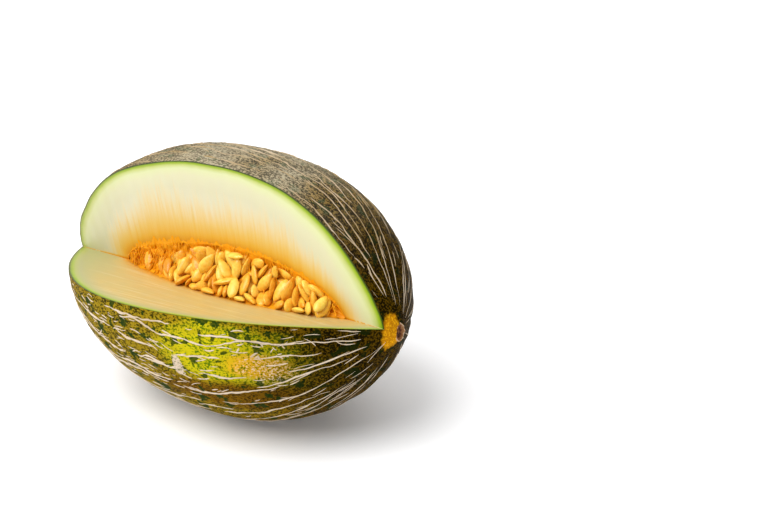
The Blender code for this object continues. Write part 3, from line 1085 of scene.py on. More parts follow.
def flesh_face(rings, side, hidden):
    """The points of cut face 0 or 1, with how far each lies from the skin and from the cavity."""
    x, rise, is_open = rings.x, FACES[side], rings.inner.is_open
    share = 1 - (1 - np.linspace(0, 1, FACE_COLUMNS)) ** 1.7
    reach = rings.inner.reaches[side]
    start = np.minimum(cavity_reach(x, rise), reach)
    along = blend(start[:, None], reach[:, None], share[None, :])
    ripple = 0.04 * MM * np.sin(along * 760 + 30 * x[:, None])
    if side == 0:
        ripple = 0.10 * MM * np.sin(x[:, None] * 640 + 90 * along)
    room = np.minimum(along - start[:, None], reach[:, None] - along)
    lift = ripple * smooth(0, 3 * MM, room)
    spot = on_face(x[:, None], rise, along, lift)
    seam = hidden[len(CAP_SHARES) : -len(CAP_SHARES), -1 if side == 0 else 0]
    spot = np.where(is_open[:, None, None], spot, seam[:, None, :])
    points = closed_on_caps(spot, hidden)
    flat = np.stack([np.broadcast_to(x[:, None], along.shape), along], -1)
    skin_edge = np.stack([x, rings.outer.reaches[side]], -1)[rings.outer.is_open]
    skin_edge = np.concatenate([[[skin_edge[0, 0], 0]], skin_edge, [[skin_edge[-1, 0], 0]]])
    depth = distance_to_path(flat.reshape(-1, 2), skin_edge).reshape(along.shape)
    if side == 0:
        wider = 1 + 0.65 * smooth(0.020, 0.112, x) + 0.3 * smooth(-0.06, -0.10, x)
    else:
        wider = 1 + 0.5 * smooth(-0.030, -0.100, x)
    depth = with_caps(1000 * depth / wider[:, None])
    met = start > 0
    heart_path = np.stack([x, start], -1)[met]
    heart = distance_to_path(flat.reshape(-1, 2), heart_path).reshape(along.shape)
    # the warm colour spreads further towards the stalk, and runs on along the cut line there
    past = heart_path[0, 0] - x[:, None]
    trail = np.where(past > 0, 6 * MM + 0.3 * past + 2.5 * along, 1.0)
    spread = 1 + 0.25 * smooth(0.01, -0.04, x) - 0.30 * smooth(0.040, 0.090, x)
    heart = np.minimum(heart, trail) / spread[:, None]
    return points, depth, with_caps(1000 * heart)


def cavity_wall(x):
    """The back of the seed cavity, from the upper cut face round to the lower."""
    upper, lower = (on_face(x, rise, cavity_reach(x, rise)) for rise in FACES)
    start = turn_of(upper[:, 1], upper[:, 2] - AXIS_HEIGHT) - math.tau
    end = turn_of(lower[:, 1], lower[:, 2] - AXIS_HEIGHT)
    share = np.linspace(0, 1, CAVITY_COLUMNS + 1)[1:-1]
    turns = blend(start[:, None], end[:, None], share[None, :])
    return place_at(x[:, None], turns, cavity_girth(x)[:, None])


def make_flesh(rings, upper_look, lower_look):
    """The flesh: one closed body with both cut faces and the hollow of the cavity."""
    x = rings.x
    gap = 0.12 * MM * np.sin(np.linspace(0, math.pi, INNER_COLUMNS + 1))
    hidden = surface_loops(
        x, rings.band(rings.inner, INNER_COLUMNS), rings.inset + gap[None, :], 0.7 * MM
    )
    upper, lower = (flesh_face(rings, side, hidden) for side in (0, 1))
    met = cavity_reach(x, UPPER_FACE) > 0
    line_spot = upper[0][len(CAP_SHARES) : -len(CAP_SHARES), 0]
    wall = np.where(met[:, None, None], cavity_wall(x), line_spot[:, None, :])
    wall = closed_on_caps(wall, hidden)
    loops = np.concatenate([upper[0][:, ::-1], wall, lower[0], hidden], axis=1)
    quads = loft(loops)
    looks = np.zeros(quads.shape[:2], int)
    looks[:, FACE_COLUMNS + (CAVITY_COLUMNS - 1) // 2 :] = 1
    deep = np.full(wall.shape[:2], 30.0)
    at_skin = np.full(hidden.shape[:2], 1000 * rings.inset)
    depth = np.concatenate([upper[1][:, ::-1], deep, lower[1], at_skin], axis=1)
    heart = np.concatenate([upper[2][:, ::-1], 0 * deep, lower[2], 0 * at_skin + 60], axis=1)
    flesh = make_piece(
        "melon_flesh",
        loops,
        quads.reshape(-1, 4),
        [upper_look, lower_look],
        looks.ravel(),
        {"depth": depth, "heart": heart},
    )
    return dress(flesh, "flesh", "melon")


class MELON_OT_body(bpy.types.Operator):
    """Make the rind and the flesh, with the wedge's two cut faces"""

    bl_idname = "melon.make_body"
    bl_label = "Rind and flesh"

    def execute(self, context):
        sizes = context.scene.melon_body
        rings = BodyRings()
        upper_look, lower_look = upper_flesh_material(sizes), lower_flesh_material(sizes)
        cork = tuple(context.scene.melon_net.pale)
        make_rind(rings, sizes, rind_material(sizes, cork), upper_look)
        make_flesh(rings, upper_look, lower_look)
        return {"FINISHED"}


# Corky net


def cork_material(net):
    """Dry cork that grew in the skin's cracks: matt, pale on top and grained across."""
    material, tree, shader, place = start_material("Cork, grown in cracks")
    broad = node(tree, "ShaderNodeTexNoise", {0: place, 2: 45.0, 3: 3.0})
    grain = node(tree, "ShaderNodeTexNoise", {0: place, 2: 1100.0, 3: 3.0, 4: 0.7})
    apart = node(tree, "ShaderNodeSeparateXYZ", {0: place})
    # the cork is older and greyer where the fruit lay towards the light
    weather = node(
        tree, "ShaderNodeMapRange", {0: apart.outputs["Z"], 1: 0.060, 2: 0.115, 3: -0.12, 4: 0.28}
    )
    age = node(tree, "ShaderNodeMath", {0: broad, 1: weather}, operation="ADD")
    cork = coats(
        tree,
        tuple(net.pale),
        (node(tree, "ShaderNodeMapRange", {0: age, 1: 0.42, 2: 0.95}), tuple(net.tan)),
        (node(tree, "ShaderNodeMapRange", {0: grain, 1: 0.56, 2: 0.74, 4: 0.5}), linear("#7f6640")),
    )
    feed(
        tree,
        shader,
        {
            "Base Color": cork,
            "Roughness": 0.85,
            "Specular IOR Level": 0.2,
            "Normal": node(
                tree, "ShaderNodeBump", {"Strength": 0.7, "Distance": 0.0003, "Height": grain}
            ),
        },
    )
    return material


def cad_lines():
    """The lines that the solids have: their turn, two waves, and the wave of their height."""
    rng = random.Random(CAD_LINE_SEED)
    lines = []
    for index in range(CAD_LINES):
        turn = math.tau * (index + rng.uniform(-0.14, 0.14)) / CAD_LINES
        waves = [
            (rng.uniform(0.070, 0.120), rng.uniform(0, math.tau), 0.65),
            (rng.uniform(0.030, 0.045), rng.uniform(0, math.tau), 0.35),
        ]
        lines.append((turn, waves, (rng.uniform(0.040, 0.090), rng.uniform(0, math.tau))))
    return lines


def start_tree(name, *sizes):
    """A Geometry Nodes tree that takes and gives a shape; each size is (name, socket type, default)."""
    tree = bpy.data.node_groups.new(name, "GeometryNodeTree")
    face = tree.interface
    face.new_socket("Geometry", in_out="INPUT", socket_type="NodeSocketGeometry")
    for label, kind, default in sizes:
        socket = face.new_socket(label, in_out="INPUT", socket_type=kind)
        socket.default_value = default
    face.new_socket("Geometry", in_out="OUTPUT", socket_type="NodeSocketGeometry")
    return tree, node(tree, "NodeGroupInput")


def end_tree(tree, shape, material):
    """End the tree with the shape as a plain mesh in this material."""
    shape = node(tree, "GeometryNodeRealizeInstances", {0: shape})
    shape = node(tree, "GeometryNodeSetMaterial", {0: shape, 2: material})
    node(tree, "NodeGroupOutput", {0: shape})
    return tree


def tube_tree(name, material, sides, height_share):
    """Geometry Nodes: a bead along every path, as wide as its points say, with its top turned outward."""
    tree, given = start_tree(
        name,
        ("Width", "NodeSocketFloat", 1.0),
        ("Height share", "NodeSocketFloat", height_share),
        ("Sides", "NodeSocketInt", sides),
    )
    outward, half_width = (
        node(tree, "GeometryNodeInputNamedAttribute", {"Name": label}, data_type=kind)
        for label, kind in (("outward", "FLOAT_VECTOR"), ("half_width", "FLOAT"))
    )
    curve = node(tree, "GeometryNodeMeshToCurve", {0: given.outputs["Geometry"]})
    curve = node(tree, "GeometryNodeSetCurveNormal", {0: curve, 2: outward}, mode="FREE")
    ring = node(tree, "GeometryNodeCurvePrimitiveCircle", {0: given.outputs["Sides"], 4: 1.0})
    flat = node(tree, "ShaderNodeCombineXYZ", {0: given.outputs["Height share"], 1: 1.0, 2: 1.0})
    ring = node(tree, "GeometryNodeTransform", {0: ring, 3: flat})
    scale = node(
        tree, "ShaderNodeMath", {0: half_width, 1: given.outputs["Width"]}, operation="MULTIPLY"
    )
    bead = node(tree, "GeometryNodeCurveToMesh", {0: curve, 1: ring, 2: scale, 3: True})
    return end_tree(tree, bead, material)


def grow(name, base, tree, inputs, floor=None):
    """Run a Geometry Nodes tree on the mesh base, and keep the result as a plain mesh object."""
    made = bpy.data.objects.new(name, base)
    bpy.context.scene.collection.objects.link(made)
    modifier = made.modifiers.new(name, "NODES")
    modifier.node_group = tree
    for item in tree.interface.items_tree:
        if item.in_out == "INPUT" and item.name in inputs:
            modifier[item.identifier] = inputs[item.name]
    graph = bpy.context.evaluated_depsgraph_get()
    result = bpy.data.meshes.new_from_object(made.evaluated_get(graph))
    made.modifiers.clear()
    made.data = result
    result.name = name
    if floor is not None:
        spots = np.empty(len(result.vertices) * 3, np.float32)
        result.vertices.foreach_get("co", spots)
        spots = spots.reshape(-1, 3)
        spots[:, 2] = np.maximum(spots[:, 2], floor)
        result.vertices.foreach_set("co", spots.ravel())
    result.shade_smooth()
    result.update()
    return made


def path_mesh(name, paths):
    """A mesh of edges: each path is (points, half widths, outward ways)."""
    points = np.concatenate([path[0] for path in paths])
    widths = np.concatenate([path[1] for path in paths])
    outward = np.concatenate([path[2] for path in paths])
    edges, start = [], 0
    for path in paths:
        count = len(path[0])
        edges += [(start + step, start + step + 1) for step in range(count - 1)]
        start += count
    mesh = bpy.data.meshes.new(name)
    mesh.from_pydata(points, edges, [])
    layer = mesh.attributes.new("half_width", "FLOAT", "POINT")
    layer.data.foreach_set("value", widths.astype(np.float32))
    layer = mesh.attributes.new("outward", "FLOAT_VECTOR", "POINT")
    layer.data.foreach_set("vector", outward.astype(np.float32).ravel())
    return mesh


def skin_path(x, turn, half_width):
    """A path on the skin in pieces, without what would hang over the wedge or run off the ends."""
    y = -girth(x) * np.cos(turn)
    z = girth(x) * HEIGHT_SHARE * np.sin(turn)
    off_upper, off_lower = off_faces(x, y, z)
    inside_wedge = (off_upper > -0.9 * MM) & (off_lower > -0.9 * MM)
    allowed = ~inside_wedge & (x > STALK_X + 1.0 * MM) & (x < BLOSSOM_X - 0.3 * MM)
    pieces = []
    where = np.flatnonzero(allowed)
    if len(where) == 0:
        return pieces
    for run in np.split(where, np.flatnonzero(np.diff(where) > 1) + 1):
        if len(run) < 3:
            continue
        share = np.linspace(0, 1, len(run))
        spacing = np.hypot(x[run][1] - x[run][0], girth(x[run][0]) * (turn[run][1] - turn[run][0]))
        tip = np.minimum(share, 1 - share) * len(run) * spacing
        width = half_width[run] * np.clip(0.25 + tip / (2.2 * MM), 0.25, 1)
        radius = skin_radius(x[run], turn[run])
        points = place_at(x[run], turn[run], radius, 0.05 * MM)
        outward = np.stack([0 * x[run], -np.cos(turn[run]), np.sin(turn[run])], axis=-1)
        pieces.append((points, width, outward))
    return pieces


def net_paths(net):
    """Every corky line of the net."""
    rng = np.random.default_rng(NET_SEED)
    return line_paths(rng, net) + dash_paths(rng, net)


def line_paths(rng, net):
    """Long broken lines from end to end, with the forks that leave them."""
    half = net.line_width / 2
    paths = []
    tracks = cad_lines()
    for index in range(net.extra_lines):
        turn = math.tau * (index + 0.5 + rng.uniform(-0.3, 0.3)) / net.extra_lines
        waves = [
            (rng.uniform(0.06, 0.12), rng.uniform(0, math.tau), 1.0),
            (rng.uniform(0.02, 0.04), rng.uniform(0, math.tau), 0.6),
        ]
        tracks.append((turn, waves, None))
    x = np.arange(STALK_X, BLOSSOM_X, 1.3 * MM)
    for turn, waves, swell in tracks:
        stray = sum(size * np.sin(math.tau * x / length + start) for length, start, size in waves)
        calm = smooth(0, NET_CALM, HALF - np.abs(x))
        jag = 0.42 * MM * wander(rng, x, 4 * MM) + 0.26 * MM * wander(rng, x, 2 * MM)
        line = turn + (NET_WANDER * stray * calm + jag * smooth(0, 0.02, girth(x))) / np.maximum(
            girth(x), 4 * MM
        )
        if swell:
            strength = 0.5 + 0.6 * np.sin(math.tau * x / swell[0] + swell[1])
        else:
            strength = 0.15 + 1.1 * wander(rng, x, rng.uniform(14, 26) * MM)
        # of all the lines, fewer and fewer run on into the ends
        last = rng.uniform(5, 32) * MM
        strength = np.where(girth(x) < last, -1.0, strength)
        strength += 0.35 * wander(rng, x, 6 * MM)
        shown = strength > 0.02
        width = half * (0.55 + 0.65 * np.clip(strength, 0, 1)) * (1 + 0.5 * wander(rng, x, 3 * MM))
        width *= 0.45 + 0.55 * smooth(5 * MM, 30 * MM, girth(x))
        width *= 1 - 0.35 * smooth(0.045, 0.105, x)
        where = np.flatnonzero(shown)
        for run in np.split(where, np.flatnonzero(np.diff(where) > 1) + 1):
            if len(run) < 4:
                continue
            paths += skin_path(x[run], line[run], width[run])
            if rng.random() < 0.45 and len(run) > 14:
                paths += fork(rng, x[run], line[run], half)
    return paths


def dash_paths(rng, net):
    """Short dashes all over the skin, and two crowds of short marks across it."""
    half = net.line_width / 2
    paths = []
    for _ in range(net.dashes):
        middle = rng.uniform(-0.105, 0.108)
        if rng.random() < 0.4:
            middle = rng.normal(-0.02, 0.05)
            turn = math.radians(rng.normal(-24, 16))
        else:
            turn = rng.uniform(0, math.tau)
        paths += dash(rng, middle, turn, rng.uniform(2, 9) * MM, half * rng.uniform(0.4, 0.85), 16)
    # short marks across the skin: fine ones over the rubbed place, and thick ones just under the cut
    for count, middle, reach, turn, swing, lengths, widths, spread in (
        (46, 0.0327, 2.6 * MM, math.radians(-17.5), 0.085, (1.2, 3.5), (0.45, 0.8), 80),
        (16, 0.080, 13 * MM, math.radians(-7.0), math.radians(4.5), (1.6, 3.6), (0.8, 1.3), 70),
    ):
        for _ in range(count):
            place = rng.uniform(-1, 1, 2)
            x, around = middle + reach * place[0], turn + swing * place[1]
            length, width = rng.uniform(*lengths) * MM, half * rng.uniform(*widths)
            paths += dash(rng, x, around, length, width, spread)
    return paths


def fork(rng, x, turn, half):
    """A branch that leaves a line at a low angle and fades out."""
    start = rng.integers(3, len(x) - 8)
    count = int(rng.integers(5, 11))
    way = rng.choice([-1, 1])
    steps = np.arange(count)
    side = rng.choice([-1, 1]) * rng.uniform(0.12, 0.34)
    along = x[start] + way * steps * 1.2 * MM
    across = turn[start] + side * steps * 1.2 * MM / np.maximum(girth(along), 8 * MM)
    return skin_path(along, across, half * np.linspace(0.8, 0.35, count))


def dash(rng, x, turn, length, half, spread):
    """One short corky dash, mostly lengthwise."""
    count = max(4, int(length / (0.9 * MM)))
    angle = math.radians(rng.normal(0, spread))
    along = np.linspace(-0.5, 0.5, count) * length
    bow = rng.uniform(-0.12, 0.12) * length * (1 - (2 * along / length) ** 2)
    radius = max(float(girth(np.clip(x, -0.115, 0.112))), 12 * MM)
    xs = x + along * math.cos(angle) - bow * math.sin(angle)
    turns = turn + (along * math.sin(angle) + bow * math.cos(angle)) / radius
    widths = half * (1 + 0.3 * rng.uniform(-1, 1, count))
    return skin_path(xs, turns, widths)


class MELON_OT_net(bpy.types.Operator):
    """Make the raised corky net of the rind"""

    bl_idname = "melon.make_net"
    bl_label = "Corky net"

    def execute(self, context):
        net = context.scene.melon_net
        base = path_mesh("net_paths", net_paths(net))
        tree = tube_tree("Corky lines", cork_material(net), 6, net.bead_share)
        cork = grow("cork_net", base, tree, {"Width": 1.0}, floor=0.0)
        dress(cork, "cork", "melon")
        return {"FINISHED"}


# Both ends


def scar_material(net, ends):
    """Crinkled dry scar tissue: cream on its torn rim, red-brown where the flower stood."""
    material, tree, shader, place = start_material("Blossom scar, dried")
    pit = node(tree, "ShaderNodeAttribute", attribute_name="pit").outputs["Fac"]
    grain = node(tree, "ShaderNodeTexNoise", {0: place, 2: 900.0, 3: 4.0, 4: 0.7})
    uneven = node(tree, "ShaderNodeMapRange", {0: grain, 1: 0.3, 2: 0.7, 3: -0.22, 4: 0.22})
    colour = node(
        tree,
        "ShaderNodeValToRGB",
        {0: node(tree, "ShaderNodeMath", {0: pit, 1: uneven}, operation="ADD")},
        stops=(
            (0.00, linear("#d39a24")),
            (0.26, linear("#c79a5c")),
            (0.42, tuple(net.pale)),
            (0.55, linear("#a97a48")),
            (0.78, tuple(ends.pit)),
            (1.00, linear("#3c1c09")),
        ),
    )
    feed(
        tree,
        shader,
        {
            "Base Color": colour,
            "Roughness": 0.8,
            "Normal": node(
                tree, "ShaderNodeBump", {"Strength": 0.9, "Distance": 0.0004, "Height": grain}
            ),
        },
    )
    return material


def stalk_material(ends):
    """Dry cut stalk: lengthwise fibres, greyer and paler over the cut."""
    material, tree, shader, place = start_material("Dry stalk, cut")
    fibres = node(
        tree,
        "ShaderNodeTexNoise",
        {
            0: node(tree, "ShaderNodeMapping", {"Vector": place, "Scale": (0.12, 1, 1)}),
            2: 1500.0,
            3: 3.0,
        },
    )
    cut = node(tree, "ShaderNodeAttribute", attribute_name="pit").outputs["Fac"]
    colour = coats(
        tree,
        tuple(ends.wood),
        (node(tree, "ShaderNodeMapRange", {0: fibres, 1: 0.38, 2: 0.64}), linear("#3f3414")),
        (cut, linear("#b9a673")),
    )
    feed(
        tree,
        shader,
        {
            "Base Color": colour,
            "Roughness": 0.78,
            "Normal": node(
                tree, "ShaderNodeBump", {"Strength": 0.8, "Distance": 0.0004, "Height": fibres}
            ),
        },
    )
    return material


def make_scar(net, ends):
    """The blossom scar: a torn rim round a dry pit."""
    rng = np.random.default_rng(SCAR_SEED)
    around = np.linspace(0, math.tau, 72, endpoint=False)
    crinkle = sum(
        np.sin(count * around + rng.uniform(0, math.tau)) * size
        for count, size in ((3, 0.4), (5, 0.4), (8, 0.35), (13, 0.3), (21, 0.2))
    )
    profile = (
        # share of the semi-axes, height in millimetres, how much it crinkles, pit
        (0.00, -1.30, 0.0, 1.00),
        (0.60, -1.25, 0.0, 1.00),
        (1.10, -0.60, 0.0, 0.00),
        (1.20, 0.05, 0.3, 0.00),
        (1.13, 0.50, 0.7, 0.10),
        (1.05, 0.90, 1.0, 0.34),
        (0.98, 0.95, 1.0, 0.42),
        (0.91, 0.70, 0.9, 0.56),
        (0.82, 0.25, 0.5, 0.66),
        (0.68, -0.15, 0.4, 0.80),
        (0.52, -0.40, 0.5, 0.92),
        (0.34, -0.45, 0.7, 0.88),
        (0.18, -0.10, 0.6, 0.66),
        (0.00, 0.00, 0.0, 0.62),
    )
    loops, pits = [], []
    for share, height, wild, pit in profile:
        reach = share * (1 + 0.08 * wild * crinkle)
        y = SCAR_SHIFT + ends.scar_width * reach * np.cos(around)
        z = ends.scar_height * reach * np.sin(around) - SCAR_DROP
        # the rim stands highest at the back
        tall = 1 + 0.35 * wild * np.roll(crinkle, 9) + 0.3 * wild * np.cos(around)
        up = height * ends.rim_height / 0.95 * tall
        loops.append(np.stack([BLOSSOM_X + up, y, AXIS_HEIGHT + z], -1))
        pits.append(pit + 0.13 * wild * (1 - np.cos(around)))
    scar = make_piece(
        "blossom_scar",
        np.array(loops),
        loft(np.array(loops)).reshape(-1, 4),
        [scar_material(net, ends)],
        values={"pit": np.array(pits)},
    )
    return dress(scar, "cork", "melon")


def make_stalk(ends):
    """The stub of the stalk, cut off short."""
    around = np.linspace(0, math.tau, 60, endpoint=False)
    lobes = 1 + 0.06 * np.cos(5 * around) + 0.02 * np.cos(13 * around + 1)
    profile = (
        # share of the stalk's radius, how far out in millimetres, cut
        (0.00, -1.9, 0.0),
        (1.05, -1.8, 0.0),
        (1.22, -0.4, 0.0),
        (1.12, 0.3, 0.0),
        (0.98, 1.1, 0.0),
        (0.93, 2.2, 0.0),
        (0.95, 3.3, 0.0),
        (0.93, 3.85, 0.4),
        (0.86, 4.0, 0.9),
        (0.60, 3.9, 1.0),
        (0.45, 3.6, 0.7),
        (0.22, 3.5, 0.5),
        (0.00, 3.6, 0.6),
    )
    loops, cuts = [], []
    for share, out, cut in profile:
        ragged = 0.12 * MM * np.sin(9 * around + 4 * share) * (1 if out > 3 and share else 0)
        radius = STALK_RADIUS * share * lobes
        x = STALK_X - out * MM * STALK_LENGTH / 0.004 + ragged
        loops.append(np.stack([x, radius * np.cos(around), AXIS_HEIGHT + radius * np.sin(around)], -1))
        cuts.append(np.full(len(around), cut))
    stalk = make_piece(
        "stalk_stub",
        np.array(loops),
        loft(np.array(loops)).reshape(-1, 4),
        [stalk_material(ends)],
        values={"pit": np.array(cuts)},
    )
    return dress(stalk, "cork", "melon")


class MELON_OT_ends(bpy.types.Operator):
    """Make the blossom scar and the stub of the stalk"""

    bl_idname = "melon.make_ends"
    bl_label = "Blossom scar and stalk"

    def execute(self, context):
        make_scar(context.scene.melon_net, context.scene.melon_ends)
        make_stalk(context.scene.melon_ends)
        return {"FINISHED"}


# Pulp


def pulp_material(settings):
    """Wet stringy pulp: it lets light in, so thin fibres glow, and the shade in its gaps and hollows is
    painted in a deep burnt orange.
    """
    material, tree, shader, place = start_material("Melon pulp, wet")
    strings = node(
        tree,
        "ShaderNodeTexNoise",
        {
            0: node(tree, "ShaderNodeMapping", {"Vector": place, "Scale": (1, 0.3, 0.3)}),
            2: 560.0,
            3: 4.0,
            4: 0.6,
        },
    )
    # painted shade in the pulp's hollows, which darkens its colour
    low = node(tree, "ShaderNodeAttribute", attribute_name="hollow_shade").outputs["Fac"]
    tone_and_shade = node(
        tree,
        "ShaderNodeMath",
        {0: node(tree, "ShaderNodeMapRange", {0: strings, 1: 0.40, 2: 0.66, 3: 0.0, 4: 0.30}), 1: low},
        operation="ADD",
        use_clamp=True,
    )
    # the stops past orange are painted shade; the strings' own tone stays before them
    colour = node(
        tree,
        "ShaderNodeValToRGB",
        {0: tone_and_shade},
        stops=(
            (0.0, linear("#f0a51c")),
            (0.35, tuple(settings.orange)),
            (0.75, tuple(settings.deep)),
            (1.0, linear("#8f4206")),
        ),
    )
    feed(
        tree,
        shader,
        {
            "Base Color": colour,
            "Roughness": 0.30,
            "Specular IOR Level": 0.10,
            "Subsurface Weight": 0.16,
            "Subsurface Radius": (0.0008, 0.0007, 0.0003),
            "Subsurface Scale": 1.0,
            "Normal": node(
                tree, "ShaderNodeBump", {"Strength": 0.6, "Distance": 0.0005, "Height": strings}
            ),
        },
    )
    return material


def open_range():
    """The x range in which the knife opened the cavity."""
    x = np.linspace(*CAVITY_ENDS, 2001)
    met = x[line_inside(x, cavity_radius_at) > 0.3 * MM]
    return met[0], met[-1]


class Bed:
    """The pulp's front: where it starts and ends at every x, and how deep it is between."""

    def __init__(self):
        self.first, self.last = open_range()
        self.x = np.linspace(self.first, self.last, 600)
        ends = [on_face(self.x, rise, cavity_reach(self.x, rise))[:, 1:] for rise in FACES]
        self.table = np.concatenate(ends, axis=1)
        self.table[:, [1, 3]] -= AXIS_HEIGHT

    def ends(self, x):
        """(y, z) of the upper and of the lower end of the front, from the axis."""
        x = np.asarray(x, float)
        found = [np.interp(x, self.x, self.table[:, column]) for column in range(4)]
        return np.stack(found[:2], -1), np.stack(found[2:], -1)

    def width(self, x):
        """How far apart the two ends of the front are."""
        upper, lower = self.ends(x)
        return np.linalg.norm(lower - upper, axis=-1)

    def depth(self, x, share):
        """Height of the bed over the chord between both ends, below 0."""
        hump = 4 * share * (1 - share)
        deepest = np.minimum(TROUGH_DEPTH, 0.28 * self.width(x))
        # it is shallower towards the stalk
        deepest = deepest * blend(0.45, 1.0, smooth(-0.045, 0.0, x))
        return -deepest * np.maximum(hump, 0) ** 0.9

    def outward(self, x):
        """The way out of the bed, square to the chord between its ends."""
        upper, lower = self.ends(x)
        chord = lower - upper
        out = np.stack([chord[..., 1], -chord[..., 0]], -1)
        return out / np.maximum(np.linalg.norm(out, axis=-1, keepdims=True), 1e-9)

    def spot(self, x, share, height):
        """Points over the chord, from the upper end at share 0 to the lower at 1."""
        x, share, height = np.broadcast_arrays(x, share, height)
        upper, lower = self.ends(x)
        place = upper + share[..., None] * (lower - upper) + height[..., None] * self.outward(x)
        return np.stack([x, place[..., 0], AXIS_HEIGHT + place[..., 1]], -1)

    def read(self, points):
        """(share, height) of points over the chord at their x."""
        x = points[..., 0]
        upper, lower = self.ends(x)
        chord = lower - upper
        place = points[..., 1:] - (0, AXIS_HEIGHT) - upper
        square = np.maximum((chord * chord).sum(-1), 1e-10)
        return (place * chord).sum(-1) / square, (place * self.outward(x)).sum(-1)


def torn_lips(rng, x, taper, longest):
    """Torn fibres that lie on both cut faces, as (points, inner edge), the longest towards the stalk."""
    lips = []
    for rise, size in ((UPPER_FACE, 1.0), (LOWER_FACE, 0.55)):
        torn = np.abs(wander(rng, x, 2.3 * MM)) * np.abs(wander(rng, x, 8 * MM)) ** 0.5
        torn += 0.20 * np.abs(wander(rng, x, 1.2 * MM))
        length = (0.5 * MM + longest * size * torn) * taper
        if rise == UPPER_FACE:
            length = length * (1 + 0.5 * smooth(0.02, -0.04, x))
        share = np.linspace(1, 0, LIP_STEPS + 1)[:-1]
        reach = cavity_reach(x, rise)[:, None] + length[:, None] * share[None]
        lift = (0.05 + 0.30 * (1 - share[None] ** 2) * (0.4 + 0.6 * torn[:, None])) * MM
        lift = lift * taper[:, None] + 0.03 * MM
        edge = on_face(x, rise, reach[:, 0], 0.02 * MM)
        lips.append((on_face(x[:, None], rise, reach, lift), edge))
    return lips


def lumps(rng, x, share):
    """Soft lumps over the front, which random heights on a fine and a coarse grid give."""
    sway = np.zeros((len(x), share.shape[1]))
    for cell, size in ((2.6, 0.5), (5.0, 0.7)):
        knots = rng.uniform(-1, 1, (int((x[-1] - x[0]) / (cell * MM)) + 2, 9))
        row = (x - x[0]) / (cell * MM)
        low_row = np.floor(row).astype(int)
        part = smooth(0, 1, row - low_row)[:, None]
        strip = blend(knots[low_row], knots[np.minimum(low_row + 1, len(knots) - 1)], part)
        column = share[0] * 7.99
        low_column = np.floor(column).astype(int)
        sway += size * blend(
            strip[:, low_column], strip[:, low_column + 1], smooth(0, 1, column - low_column)[None]
        )
    return sway


def make_pulp(bed, settings):
    """The seed bed: it fills the cavity, and its front is a trough with torn lips over both cut faces."""
    rng = np.random.default_rng(PULP_SEED)
    x = np.linspace(bed.first, bed.last, PULP_ROWS)
    taper = smooth(0, 6 * MM, np.minimum(x - bed.first, bed.last - x))
    upper, lower = bed.ends(x)
    radius = cavity_girth(x) - 0.15 * MM
    start = turn_of(lower[:, 0], lower[:, 1])
    end = turn_of(upper[:, 0], upper[:, 1]) - math.tau
    turns = blend(start[:, None], end[:, None], np.linspace(0, 1, PULP_BACK + 1)[None])
    back = place_at(x[:, None], turns, radius[:, None])
    lips = torn_lips(rng, x, taper, settings.lip_length)
    share = np.linspace(0, 1, PULP_FRONT + 1)[None]
    fibres = wander(rng, x, 1.1 * MM)[:, None] * 0.35 + wander(rng, x, 2.3 * MM)[:, None] * 0.4
    sway = lumps(rng, x, share)
    near_edge = smooth(0.45, 0.0, np.minimum(share, 1 - share))
    height = bed.depth(x[:, None], share) + taper[:, None] * MM * (
        0.35 + fibres * (0.25 + 0.6 * near_edge) + sway * (1.1 - 0.4 * near_edge)
    )
    height = np.maximum(height, bed.depth(x[:, None], share) - 0.5 * MM)
    front = bed.spot(x[:, None], share, height)
    loops = np.concatenate(
        [back, lips[0][1][:, None], lips[0][0], front, lips[1][0][:, ::-1], lips[1][1][:, None]], axis=1
    )
    # painted shade, darker where the front sinks deeper and between its lumps; the hidden back is painted
    # half shaded
    hollow_shade = np.zeros(loops.shape[:2])
    first = PULP_BACK + 2 + LIP_STEPS
    hollow_shade[:, first : first + PULP_FRONT + 1] = np.clip(-height / (7 * MM) * 0.55 - 0.15 * sway, 0, 1)
    hollow_shade[:, : PULP_BACK + 1] = 0.5
    pulp = make_piece(
        "seed_bed", loops, loft(loops).reshape(-1, 4), [pulp_material(settings)], values={"hollow_shade": hollow_shade}
    )
    close_ends(pulp.data)
    return dress(pulp, "pulp", "pulp")


def close_ends(mesh):
    """Fill what a loft leaves open at its two ends."""
    shape = bmesh.new()
    shape.from_mesh(mesh)
    open_edges = [edge for edge in shape.edges if edge.is_boundary]
    bmesh.ops.holes_fill(shape, edges=open_edges, sides=0)
    bmesh.ops.recalc_face_normals(shape, faces=shape.faces)
    for face in shape.faces:
        face.smooth = True
    shape.to_mesh(mesh)
    shape.free()


